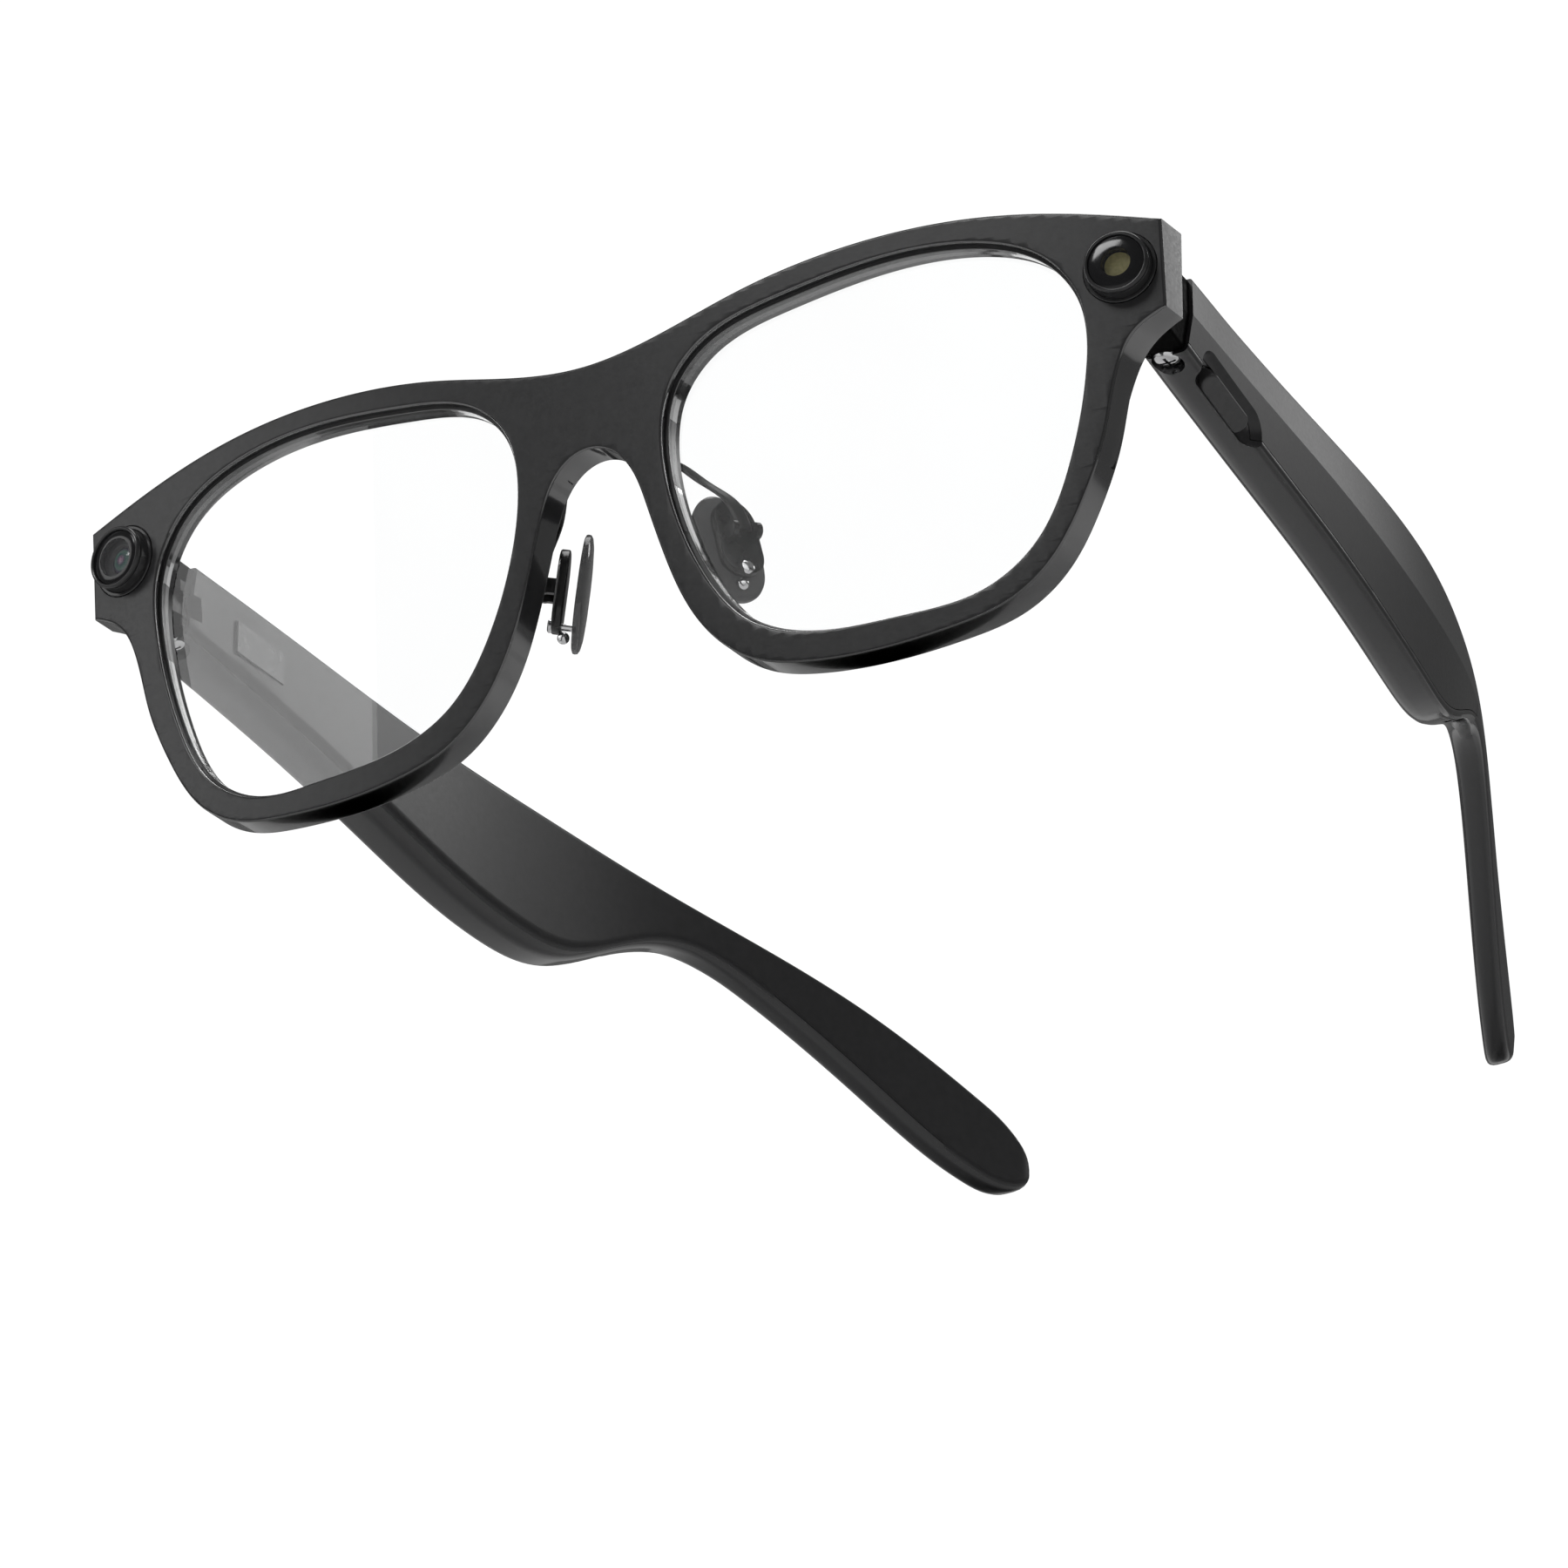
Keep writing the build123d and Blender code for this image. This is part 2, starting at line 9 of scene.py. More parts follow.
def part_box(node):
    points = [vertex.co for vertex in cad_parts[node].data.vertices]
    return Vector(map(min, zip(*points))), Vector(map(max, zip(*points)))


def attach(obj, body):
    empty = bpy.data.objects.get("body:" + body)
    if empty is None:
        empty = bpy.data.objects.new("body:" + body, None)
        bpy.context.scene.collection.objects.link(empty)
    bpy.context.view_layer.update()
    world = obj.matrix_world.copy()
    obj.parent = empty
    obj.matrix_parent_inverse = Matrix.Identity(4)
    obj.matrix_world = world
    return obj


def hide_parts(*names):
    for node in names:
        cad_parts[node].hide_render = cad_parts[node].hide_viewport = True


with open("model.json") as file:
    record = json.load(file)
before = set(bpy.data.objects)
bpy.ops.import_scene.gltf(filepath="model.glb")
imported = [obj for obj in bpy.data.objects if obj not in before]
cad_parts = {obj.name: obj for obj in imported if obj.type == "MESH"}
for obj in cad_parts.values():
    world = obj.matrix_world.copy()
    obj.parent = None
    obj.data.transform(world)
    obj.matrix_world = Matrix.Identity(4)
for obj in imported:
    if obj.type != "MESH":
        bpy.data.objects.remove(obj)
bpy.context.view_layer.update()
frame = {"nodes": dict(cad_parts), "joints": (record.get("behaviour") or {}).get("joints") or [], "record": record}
nodes = frame["nodes"]

# ---------------------------------------------------------------- places
# The glasses are drawn level, in millimetres: the origin is the middle of the bridge's top edge,
# +X points to the wearer's left and +Y back along the temples. LEVEL stands them on the table.
STAND_PITCH = math.radians(-6.42)
PIVOT = Vector((66.3, 17.8, -5.1))
FRONT_TILT = math.radians(5.1)
FRONT_RADIUS = 350.0
MM = 0.001

joint_places = {joint["name"]: joint.get("pos_m") for joint in frame["joints"]}
LEVEL = (
    Matrix.Translation(joint_places["left_temple_fold"])
    @ Matrix.Rotation(STAND_PITCH, 4, "X")
    @ Matrix.Scale(MM, 4)
    @ Matrix.Translation(-PIVOT)
)
HINGE_LEAN = (
    Matrix.Translation(PIVOT) @ Matrix.Rotation(FRONT_TILT, 4, "X") @ Matrix.Translation(-PIVOT)
)
SIDES = {"left": 1, "right": -1}

# how many points a rounded corner of a temple's outline is drawn with
CORNER_POINTS = 6

# temple outlines, as (y, x) and (y, z)
INNER_FACE = [(7, 64.2), (45, 61.7), (73, 60.1), (90, 57.9), (110, 53.4), (140, 41.2), (163, 31.4)]
OUTER_FACE = [(7, 70.6), (45, 68.1), (73, 66.5), (90, 64.0), (110, 58.0), (140, 45.2), (163, 35.4)]
TOP_LINE = [(7, 1.0), (60, -0.2), (95, -0.8), (120, -3.8), (140, -9.0), (155, -15.4), (163, -19.3)]
BOTTOM_LINE = [
    (7, -8.9), (30, -11.4), (60, -15.3), (84, -18.7), (94, -17.8), (104, -12.6), (114, -8.9),
    (125, -11.5), (140, -19.2), (153, -25.7), (163, -27.6),
]
CREASE = [(7, -4.6), (60, -6.9), (95, -8.4), (113, -6.6), (125, -8.4), (140, -14), (163, -23.4)]
BAND_START = 13.1
BAND_SLANT = 0.17
SLANT_LEVEL = -9.5
SLANT_FADE = 16
TEMPLE_START = 16.9
HOUSING_END = 111.0
TIP_END = 162.7
TIP_ROUND = 7.0
SLIMMING = (100, 118)
COVER_THICKNESS = 1.2
COVER_GAP = 0.06
SEAM = 0.12
SOFT_EDGE = 0.09

# how many sections a temple's housing, tail and rounded end are drawn with
HOUSING_SECTIONS = 97
TAIL_SECTIONS = 46
END_SECTIONS = 16

# the room for the front leaf's tongue, and the hinge screw's recess, dome and cross slot
TONGUE_ROOM = 1.75
TONGUE_FRONT = 10
TONGUE_INNER = 58.0
TONGUE_HEIGHTS = (-6.72, -3.48)
SCREW_SEAT = -8.1
SCREW_RECESS_RADIUS = 1.9
SCREW_RECESS_END = -14.0
SCREW_DOME = [
    (0, SCREW_SEAT), (1.75, SCREW_SEAT), (1.75, -9.15), (1.62, -9.5), (1.3, -9.75),
    (0.8, -9.9), (0, -9.95),
]
CROSS_ARM = (1.0, 0.19)
CROSS_HEIGHTS = (-10.2, -9.3)

# the sound slots in a temple's underside: places as (y, z), half sizes as (x, y, z)
SOUND_SLOTS = [(98.5, -15.0), (102.6, -12.8)]
SOUND_SLOT_X = 60.0
SOUND_SLOT_TAPER = 0.24
SOUND_SLOT_HALF = (0.65, 1.25, 2.5)
SOUND_SLOT_TURN = math.radians(13)
SOUND_SLOT_TILT = math.radians(27)

# how much larger than the contact plate its pocket is, along each axis
POCKET_GROWTH = (0.7, 0.1, 0.1)

# the mode button's pocket and the scoop round it
BUTTON_PLACE = (67.3, 29.0, -9.7)
BUTTON_ALONG = (-0.065, 1, -0.125)
BUTTON_OUT = (0.62, 0, -0.78)
WELL_LENGTH = 10.7
WELL_WIDTH = 2.9
WELL_FLOOR = -2.9
WELL_MOUTH = 0.01
WELL_FLARE = 0.0035
SCOOP_RADIUS = 3.0
SCOOP_REACH = 5.4
SCOOP_LIFT = 2.0
SCOOP_LEAN = 1.5

# front outlines, as (x, z)
HALF_WIDTH = 71.5
END_TOP = 1.3
END_BOTTOM = -9.8
RIM_DEPTH = 4.2
RIM_EDGE = 0.3
STEP_START = 1.0
STEP_END = RIM_DEPTH - 0.05
STEP_OUT = 0.6
STEP_IN = -0.45
STEP_EDGE = 0.12
BLOCK_BACK = 12.5
BLOCK_SHALLOW = 3.6
BLOCK_INNER = 62.4
BLOCK_TOP_INNER = 61.5
BLOCK_PROUD = 0.012
BLOCK_LOW_FADE = (11.0, 29.0)
BLOCK_SIDE_FADE = (62.0, 65.5)
# (share of its depth, how much smaller) from the front to the softened back edge
BLOCK_RINGS = [(0.06, 0.0), (0.3, 0.0), (0.6, 0.0), (0.93, 0.0), (0.98, 0.12), (1.0, 0.4)]
MODULE_X = 66.5
MODULE_Z = -4.0
# (radius, from, to) along a module's axis
BEZEL_SEAT = (4.45, -0.5, 3.0)
BARREL_BORE = (3.92, -3.9, 0.0)
BROW = [(0, 0), (8.2, 1.0), (20, 4.1), (35, 6.4), (50, 6.1), (62, 3.9), (HALF_WIDTH, END_TOP)]
UNDERSIDE = [
    (HALF_WIDTH, END_BOTTOM), (67.6, -12.2), (65.4, -16.5), (63.6, -24), (60.6, -31.8),
    (56.4, -38.6), (51.5, -42.3), (44, -44.2), (34, -44.9), (26, -44.2), (20.5, -42.6),
    (16.3, -39.6), (12.2, -34), (9.4, -27), (7.2, -19.5), (5.3, -14.3), (3.0, -11.6), (0, -10.6),
]
OPENING = [
    (9.6, -12), (10.8, -21), (14.6, -30.8), (20, -37.6), (27.5, -40.7), (38, -41.3),
    (48.5, -40.2), (54.6, -36), (59.2, -27), (61.8, -15.5), (61.4, -6.5), (57.4, -0.6),
    (49, 3.1), (39, 3.9), (25, 2.2), (15, -1.0), (10.9, -5.6),
]

# a module's bezel, as (radius, height), and the radius of its clear window
BEZEL = [
    (3.03, -1.5), (3.88, -1.5), (3.88, -0.45), (4.28, -0.45), (4.32, -0.38), (4.32, 0.06),
    (4.24, 0.14), (3.98, 0.14), (3.9, 0.06), (3.84, 0.2), (3.84, 1.1), (3.8, 1.18), (3.84, 1.26),
    (3.84, 1.6), (3.74, 1.8), (3.6, 1.88), (3.46, 1.86), (3.37, 1.76), (3.36, 0.94), (3.03, 0.94),
]
WINDOW = {"light": 1.75, "camera": 2.35}
GLASS_BACK = 0.94
GLASS_FRONT = 1.66
GLASS_RADIUS = 3.34

# the left nose pad: sizes are (length, width, straight run of the sides), the two profiles
# (share of that size, height), the clasp's pin (radius, height)
PAD_CENTRE = (10.4, 16.0, -19.2)
PAD_FACING = (-0.85, 0.5, -0.12)
PAD_UP = (-0.09, -0.15, 0.98)
PAD_AXIS = -3.6
PAD_SIZE = (14.4, 8.9, 2.0)
PAD_PROFILE = [
    (0.8, 0.25), (0.93, 0.3), (0.99, 0.45), (1.0, 0.7), (0.99, 1.0), (0.93, 1.22), (0.8, 1.38),
    (0.55, 1.5), (0.25, 1.56),
]
MOUNT_SIZE = (10.2, 5.6, 4.0)
MOUNT_PROFILE = [(0.9, -2.3), (0.97, -2.24), (1.0, -2.1), (1.0, -1.3), (0.97, -1.16), (0.9, -1.1)]
MOUNT_BACK = -2.2
EAR_RUNS = [(-1.95, -1.2), (1.2, 1.95)]
EAR_RADIUS = 1.0
EAR_HALF_WIDTH = 0.9
ARM_PATH = [
    (4.2, 4.4, -12.3), (7.0, 8.0, -10.8), (9.6, 11.2, -12.8), (12.4, 13.2, -15.4),
    (13.46, 14.2, -18.8),
]
ARM_HALF_THICKNESS = 0.24
ARM_HALF_WIDTHS = (0.7, 1.05)
CLASP_PIN = [
    (0, -2.75), (0.6, -2.75), (0.8, -2.6), (0.8, -2.2), (0.42, -2.2), (0.42, 0.5), (0, 0.5),
]
CLASP_PIN_PLACE = (-4.3, 0, 0)
CLASP_BALL_RADIUS = 0.72
CLASP_BALL_PLACE = (-5.6, 0, -0.75)

# the photo's camera, in millimetres and radians; its slide is along the picture's right and up
CAMERA_LENS = 320
CAMERA_SENSOR = 36
CAMERA_TURN = math.radians(30)
CAMERA_CLIMB = math.radians(-29)
CAMERA_RANGE = 1600
CAMERA_SLIDE = (23, -48)

# the studio, in metres and watts: each light's place, aim, size and power
LIGHTS = {
    "key": ((-0.14, -0.62, 0.60), (0, -0.08, 0.03), (0.34, 0.24), 2.0),
    "side": ((0.42, 0.77, 0.54), (0, 0, 0.03), (0.2, 0.2), 0.62),
    "top": ((0.1, 0.1, 0.9), (0, 0, 0), (0.5, 0.5), 2.5),
    "left": ((-0.62, -0.52, 0.36), (0, -0.08, 0.02), (0.3, 0.3), 0.45),
}
WORLD_SEEN = 1.06
WORLD_FILL = 0.13
FLOOR_HALF = 2.5

# the part of a noise texture's range that a varied socket follows
NOISE_LOW = 0.3
NOISE_HIGH = 0.7


# ---------------------------------------------------------------- drawing helpers
def smooth_line(points):
    """A natural cubic through (t, value) points, as a function of t."""
    t = np.array([point[0] for point in points], float)
    v = np.array([point[1] for point in points], float)
    h = np.diff(t)
    rows = np.eye(len(t))
    bends = np.zeros(len(t))
    for i in range(1, len(t) - 1):
        rows[i, i - 1:i + 2] = h[i - 1], 2 * (h[i - 1] + h[i]), h[i]
        bends[i] = 6 * ((v[i + 1] - v[i]) / h[i] - (v[i] - v[i - 1]) / h[i - 1])
    m = np.linalg.solve(rows, bends)

    def value(x):
        i = int(min(max(np.searchsorted(t, x) - 1, 0), len(t) - 2))
        a = (t[i + 1] - x) / h[i]
        b = 1 - a
        return a * v[i] + b * v[i + 1] + ((a**3 - a) * m[i] + (b**3 - b) * m[i + 1]) * h[i] ** 2 / 6

    return value


def through(points, count, closed=False):
    """Points evenly spaced along a smooth curve through a few points, flat or in space."""
    if closed:
        points = points[-4:] + points + points[:5]
    steps = [0.0]
    for a, b in zip(points, points[1:]):
        steps.append(steps[-1] + math.dist(a, b))
    lines = [smooth_line(list(zip(steps, values))) for values in zip(*points)]
    start, end = (steps[4], steps[-5]) if closed else (0.0, steps[-1])
    last = count if closed else count - 1
    spots = [start + (end - start) * i / last for i in range(count)]
    return [tuple(line(t) for line in lines) for t in spots]


def moved_out(loop, distance):
    """A closed loop of points, moved along its normals (outward when it runs anticlockwise)."""
    moved = []
    for i, (x, z) in enumerate(loop):
        ahead = loop[(i + 1) % len(loop)]
        behind = loop[i - 1]
        run = Vector((ahead[0] - behind[0], ahead[1] - behind[1])).normalized()
        moved.append((x + distance * run.y, z - distance * run.x))
    return moved


def rounded(corners):
    """A closed outline with its corners rounded: corners are (x, z, radius)."""
    arc = CORNER_POINTS - 1
    ring = []
    for i, (x, z, radius) in enumerate(corners):
        here = Vector((x, z))
        before = Vector(corners[i - 1][:2]) - here
        after = Vector(corners[(i + 1) % len(corners)][:2]) - here
        turn = before.angle(after)
        reach = min(radius / math.tan(turn / 2), 0.45 * before.length, 0.45 * after.length)
        start = here + before.normalized() * reach
        end = here + after.normalized() * reach
        for k in range(arc + 1):
            t = k / arc
            ring.append(tuple(start * (1 - t) ** 2 + here * 2 * t * (1 - t) + end * t**2))
    return ring


def mirrored(side):
    """A flip to the wearer's right for side -1, and nothing for side 1."""
    return Matrix.Diagonal((side, 1, 1, 1))


def facing_place(spot, along, out):
    """A place whose z axis points out and whose x axis runs along, squared up to it."""
    out = Vector(out).normalized()
    along = Vector(along)
    along = (along - out * along.dot(out)).normalized()
    rows = Matrix((along, out.cross(along), out)).transposed().to_4x4()
    return Matrix.Translation(spot) @ rows


def new_object(name, data):
    thing = bpy.data.objects.new(name, data)
    bpy.context.scene.collection.objects.link(thing)
    return thing


def object_from(name, mesh):
    """An object with a working mesh as its data; the working mesh is freed."""
    data = bpy.data.meshes.new(name)
    mesh.to_mesh(data)
    mesh.free()
    return new_object(name, data)


def remove(things):
    for thing in things:
        bpy.data.objects.remove(thing)


def dress(thing, *names):
    """Add finishes to an object, in the order of its faces' material numbers."""
    for name in names:
        thing.data.materials.append(finishes[name])


def loft(name, rings):
    """A closed skin over rings of (x, y, z) points, in the row frame."""
    size = len(rings[0])
    mesh = bmesh.new()
    rows = [[mesh.verts.new(LEVEL @ Vector(point)) for point in ring] for ring in rings]
    for near, far in zip(rows, rows[1:]):
        for i in range(size):
            mesh.faces.new((near[i], near[(i + 1) % size], far[(i + 1) % size], far[i]))
    mesh.faces.new(rows[0])
    mesh.faces.new(rows[-1][::-1])
    return finished(name, mesh)


def finished(name, mesh):
    """An object from a working mesh in the row frame, with doubled points joined."""
    bmesh.ops.remove_doubles(mesh, verts=mesh.verts, dist=0.004 * MM)
    bmesh.ops.dissolve_degenerate(mesh, edges=mesh.edges, dist=0.002 * MM)
    bmesh.ops.recalc_face_normals(mesh, faces=mesh.faces)
    return object_from(name, mesh)


def evaluated_mesh(thing):
    """A mesh of an object as its modifiers, or its curve's settings, leave it."""
    bpy.context.view_layer.update()
    graph = bpy.context.evaluated_depsgraph_get()
    return bpy.data.meshes.new_from_object(thing.evaluated_get(graph))


def cut(thing, tools):
    """Take tools out of an object; the tools themselves stay."""
    for tool in tools:
        modifier = thing.modifiers.new("cut", "BOOLEAN")
        modifier.operation = "DIFFERENCE"
        modifier.solver = "EXACT"
        modifier.object = tool
    data = evaluated_mesh(thing)
    thing.modifiers.clear()
    thing.data = data


def soften(thing):
    """Round every sharp edge a little, so that it catches light."""
    weld = thing.modifiers.new("weld", "WELD")
    weld.merge_threshold = 0.003 * MM
    bevel = thing.modifiers.new("bevel", "BEVEL")
    bevel.width = SOFT_EDGE * MM
    bevel.segments = 2
    bevel.limit_method = "ANGLE"
    bevel.angle_limit = math.radians(35)
    smooth = thing.modifiers.new("normals", "WEIGHTED_NORMAL")
    smooth.keep_sharp = True
    for polygon in thing.data.polygons:
        polygon.use_smooth = True


def add_box(mesh, low, high, place):
    """A box between two corners in a place, added to a working mesh."""
    middle = [(a + b) / 2 for a, b in zip(low, high)]
    size = [b - a for a, b in zip(low, high)]
    shape = place @ Matrix.Translation(middle) @ Matrix.Diagonal((*size, 1))
    bmesh.ops.create_cube(mesh, size=1, matrix=LEVEL @ shape)


def box_tool(low, high, place):
    """A box-shaped cutter between two corners in a place."""
    mesh = bmesh.new()
    add_box(mesh, low, high, place)
    return finished("tool", mesh)


def round_tool(radius, low, high, place, points=48):
    """A round cutter along a place's z axis, between two heights."""
    mesh = bmesh.new()
    bmesh.ops.create_cone(
        mesh, cap_ends=True, segments=points, radius1=radius, radius2=radius, depth=high - low
    )
    shape = LEVEL @ place @ Matrix.Translation((0, 0, (low + high) / 2))
    bmesh.ops.transform(mesh, matrix=shape, verts=mesh.verts)
    return finished("tool", mesh)


# ---------------------------------------------------------------- temples
inner_x = smooth_line(INNER_FACE)
outer_x = smooth_line(OUTER_FACE)
top_z = smooth_line(TOP_LINE)
bottom_z = smooth_line(BOTTOM_LINE)
crease_z = smooth_line(CREASE)


def fade(y, start, end):
    """0 before start, 1 after end, smooth between."""
    t = min(max((y - start) / (end - start), 0.0), 1.0)
    return t * t * (3 - 2 * t)


def temple_section(y):
    """A temple's rounded outline at one place along it.

    It comes as the inner run, the outer run and the x of the outer face's top edge.
    """
    # the housing's section turns into the slim tail's, and the tail's end is rounded off
    slim = fade(y, *SLIMMING)
    end = max(0.0, (y - TIP_END + TIP_ROUND) / TIP_ROUND)
    height = math.sqrt(max(1 - end**2.4, 0.0004))
    middle = (top_z(y) + bottom_z(y)) / 2
    top = middle + (top_z(y) - middle) * height
    bottom = middle + (bottom_z(y) - middle) * height
    crease = min(max(crease_z(y), bottom + 0.3 * (top - bottom)), top - 0.2 * (top - bottom))
    width = 0.5 + 0.5 * math.sqrt(max(1 - max(0.0, (y - TIP_END + 2.0) / 2.0) ** 2, 0.0))
    centre = (inner_x(y) + outer_x(y)) / 2
    inner = centre + (inner_x(y) - centre) * width
    outer = centre + (outer_x(y) - centre) * width
    above = outer - (0.10 - 0.04 * slim) * (top - crease)
    below = outer - (0.06 + 0.04 * slim) * (crease - bottom)
    corners = [
        (inner, top, 0.7),
        (inner, bottom, 2.7 - 1.2 * slim),
        (below, bottom, 0.8 + 0.5 * slim),
        (outer, crease, 0.5),
        (above, top, 0.6 + 0.3 * slim),
    ]
    # the outer run starts between the third corner's last point and the crease
    ring = rounded(corners)
    split = 3 * CORNER_POINTS
    low_z = max(bottom + 1.05, ring[split - 1][1] + 0.05)
    low_x = below + (outer - below) * (low_z - bottom) / (crease - bottom)
    outer_run = [(low_x, low_z)] + ring[split:] + [(above - COVER_THICKNESS, top)]
    return ring[:split], outer_run, above


def recessed(run, depth, above):
    """The floor of the outer cover's recess, under a section's outer run."""
    return [(max(x - depth, above - depth), z) for x, z in run[:-1]] + [(above - depth, run[-1][1])]


def slanted(y, z):
    """How far back the temple's front edge leans at a height, fading out along the temple."""
    return BAND_SLANT * (z - SLANT_LEVEL) * (1 - fade(y, TEMPLE_START, TEMPLE_START + SLANT_FADE))


def shell_mesh(name, side):
    """A temple's shell: the housing with a recess for the outer cover, the tail and its end."""
    housing = list(np.linspace(TEMPLE_START, HOUSING_END, HOUSING_SECTIONS))
    tail = list(np.linspace(HOUSING_END, TIP_END - TIP_ROUND, TAIL_SECTIONS))
    for i in range(1, END_SECTIONS + 1):
        tail.append(TIP_END - TIP_ROUND * (1 - math.sin(math.pi / 2 * i / END_SECTIONS)))
    rings = []
    for depth, places in ((COVER_THICKNESS, housing), (0.0, tail)):
        for y in places:
            inner_run, outer_run, above = temple_section(y)
            floor = recessed(outer_run, depth, above) if depth else outer_run
            ring = inner_run + [outer_run[0]] + floor + [outer_run[-1]]
            rings.append([(side * x, y + slanted(y, z), z) for x, z in ring])
    return loft(name, rings)


def cover_mesh(name, side):
    """A temple's outer cover, with a seam left open all round it."""
    depth = COVER_THICKNESS - COVER_GAP
    rings = []
    for y in np.linspace(TEMPLE_START + SEAM, HOUSING_END - SEAM, HOUSING_SECTIONS):
        run, above = temple_section(y)[1:]
        top = run[-1][1]
        run[0] = (run[0][0], run[0][1] + SEAM)
        run[-1] = (run[-1][0] + SEAM, top)
        back = [(x, min(z, top - 0.3)) for x, z in recessed(run, depth, above)]
        rings.append([(side * x, y + slanted(y, z), z) for x, z in run + back[::-1]])
    return loft(name, rings)


def band_mesh(name, side):
    """The black band between the end piece and the temple, a little slimmer than both.

    Its front is square, and its back follows the temple's leaning front edge.
    """
    rings = []
    for y, shrink in ((BAND_START, 0.8), (BAND_START + 0.25, 0.5), (TEMPLE_START, 0.45)):
        inner_run, outer_run = temple_section(y)[:2]
        ring = moved_out(inner_run + outer_run[1:-1], -shrink)
        shift = 1.0 if y == TEMPLE_START else 0.0
        rings.append([(side * x, y + shift * slanted(y, z), z) for x, z in ring])
    return loft(name, rings)


def button_frame():
    """The middle of the button's pocket: x along the temple, z out of its lower edge."""
    along = Vector(BUTTON_ALONG).normalized()
    out = Vector(BUTTON_OUT)
    out = (out - along * out.dot(along)).normalized()
    rows = Matrix((along, out.cross(along), out)).transposed().to_4x4()
    return Matrix.Translation(BUTTON_PLACE) @ rows


def well_tool(side):
    """A cutter for the slot-shaped well that the button moves in, a hair wider at its mouth."""
    loops = []
    for height, radius in (
        (WELL_FLOOR, WELL_WIDTH / 2),
        (WELL_MOUTH, WELL_WIDTH / 2 + WELL_FLARE),
    ):
        loop = []
        for i in range(48):
            angle = 2 * math.pi * i / 48
            shift = math.copysign((WELL_LENGTH - WELL_WIDTH) / 2, math.cos(angle))
            spot = (shift + radius * math.cos(angle), radius * math.sin(angle), height)
            loop.append(mirrored(side) @ (button_frame() @ Vector(spot)))
        loops.append(loop)
    return loft("tool", loops)


def hinge_axis(side):
    """A hinge's own line: z runs along it."""
    return HINGE_LEAN @ Matrix.Translation((side * PIVOT.x, PIVOT.y, 0))


def hinge_tools(side):
    """The room for the front leaf's tongue as the temple folds, and the screw's recess."""
    near, far = sorted((side * TONGUE_INNER, side * (PIVOT.x + TONGUE_ROOM)))
    low, high = TONGUE_HEIGHTS
    back = PIVOT.y + TONGUE_ROOM
    tongue = box_tool((near, TONGUE_FRONT, low), (far, back, high), HINGE_LEAN)
    recess = round_tool(SCREW_RECESS_RADIUS, SCREW_RECESS_END, SCREW_SEAT, hinge_axis(side))
    return [tongue, recess]


def hinge_screws():
    """Domed screw heads with a cross slot, in the undersides of the temples."""
    low, high = CROSS_HEIGHTS
    for name, side in SIDES.items():
        mesh = bmesh.new()
        lathe(mesh, SCREW_DOME, hinge_axis(side), 64)
        head = finished(f"hinge_screw_skin_{name}", mesh)
        slots = [
            box_tool((-x, -y, low), (x, y, high), hinge_axis(side))
            for x, y in (CROSS_ARM, CROSS_ARM[::-1])
        ]
        cut(head, slots)
        remove(slots)
        smooth_shaded(head, 50)
        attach(head, f"{name}_temple")
        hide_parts(f"temple_hinge_screw_{name}")
        dress(head, "polished_steel")


def sound_slot_tools(side):
    """Cutters for the two sound slots, one behind the other."""
    low = [-size for size in SOUND_SLOT_HALF]
    tools = []
    for y, z in SOUND_SLOTS:
        x = SOUND_SLOT_X - SOUND_SLOT_TAPER * (y - SOUND_SLOTS[0][0])
        tilt = Matrix.Rotation(SOUND_SLOT_TILT, 4, "X")
        turn = Matrix.Rotation(side * SOUND_SLOT_TURN, 4, "Z")
        place = Matrix.Translation((side * x, y, z)) @ tilt @ turn
        tools.append(box_tool(low, SOUND_SLOT_HALF, place))
    return tools


def node_pocket(node):
    """A cutter with a CAD node's own shape, a little larger."""
    low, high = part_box(node)
    middle = (low + high) / 2
    data = nodes[node].data.copy()
    size = [(b - a) / 2 for a, b in zip(low, high)]
    scale = Matrix.Diagonal([1 + g * MM / s for g, s in zip(POCKET_GROWTH, size)] + [1])
    data.transform(Matrix.Translation(middle) @ scale @ Matrix.Translation(-middle))
    mesh = bmesh.new()
    mesh.from_mesh(data)
    return finished("tool", mesh)


def scoop_tool(side):
    """A smooth hollow round the button: a lying capsule that dips into the temple's edge."""
    mesh = bmesh.new()
    bmesh.ops.create_uvsphere(mesh, u_segments=40, v_segments=24, radius=SCOOP_RADIUS)
    for vert in mesh.verts:
        spot = vert.co + Vector((0, SCOOP_LEAN, SCOOP_LIFT))
        spot.x += math.copysign(SCOOP_REACH, spot.x) if abs(spot.x) > 1e-4 else 0
        vert.co = LEVEL @ (mirrored(side) @ (button_frame() @ spot))
    return finished("tool", mesh)


def polish_edges(shell):
    """The polished finish on every face of a shell that doesn't look straight in or out."""
    dress(shell, "polished_edge")
    for polygon in shell.data.polygons:
        polygon.material_index = 1 if abs(polygon.normal.x) < 0.8 else 0


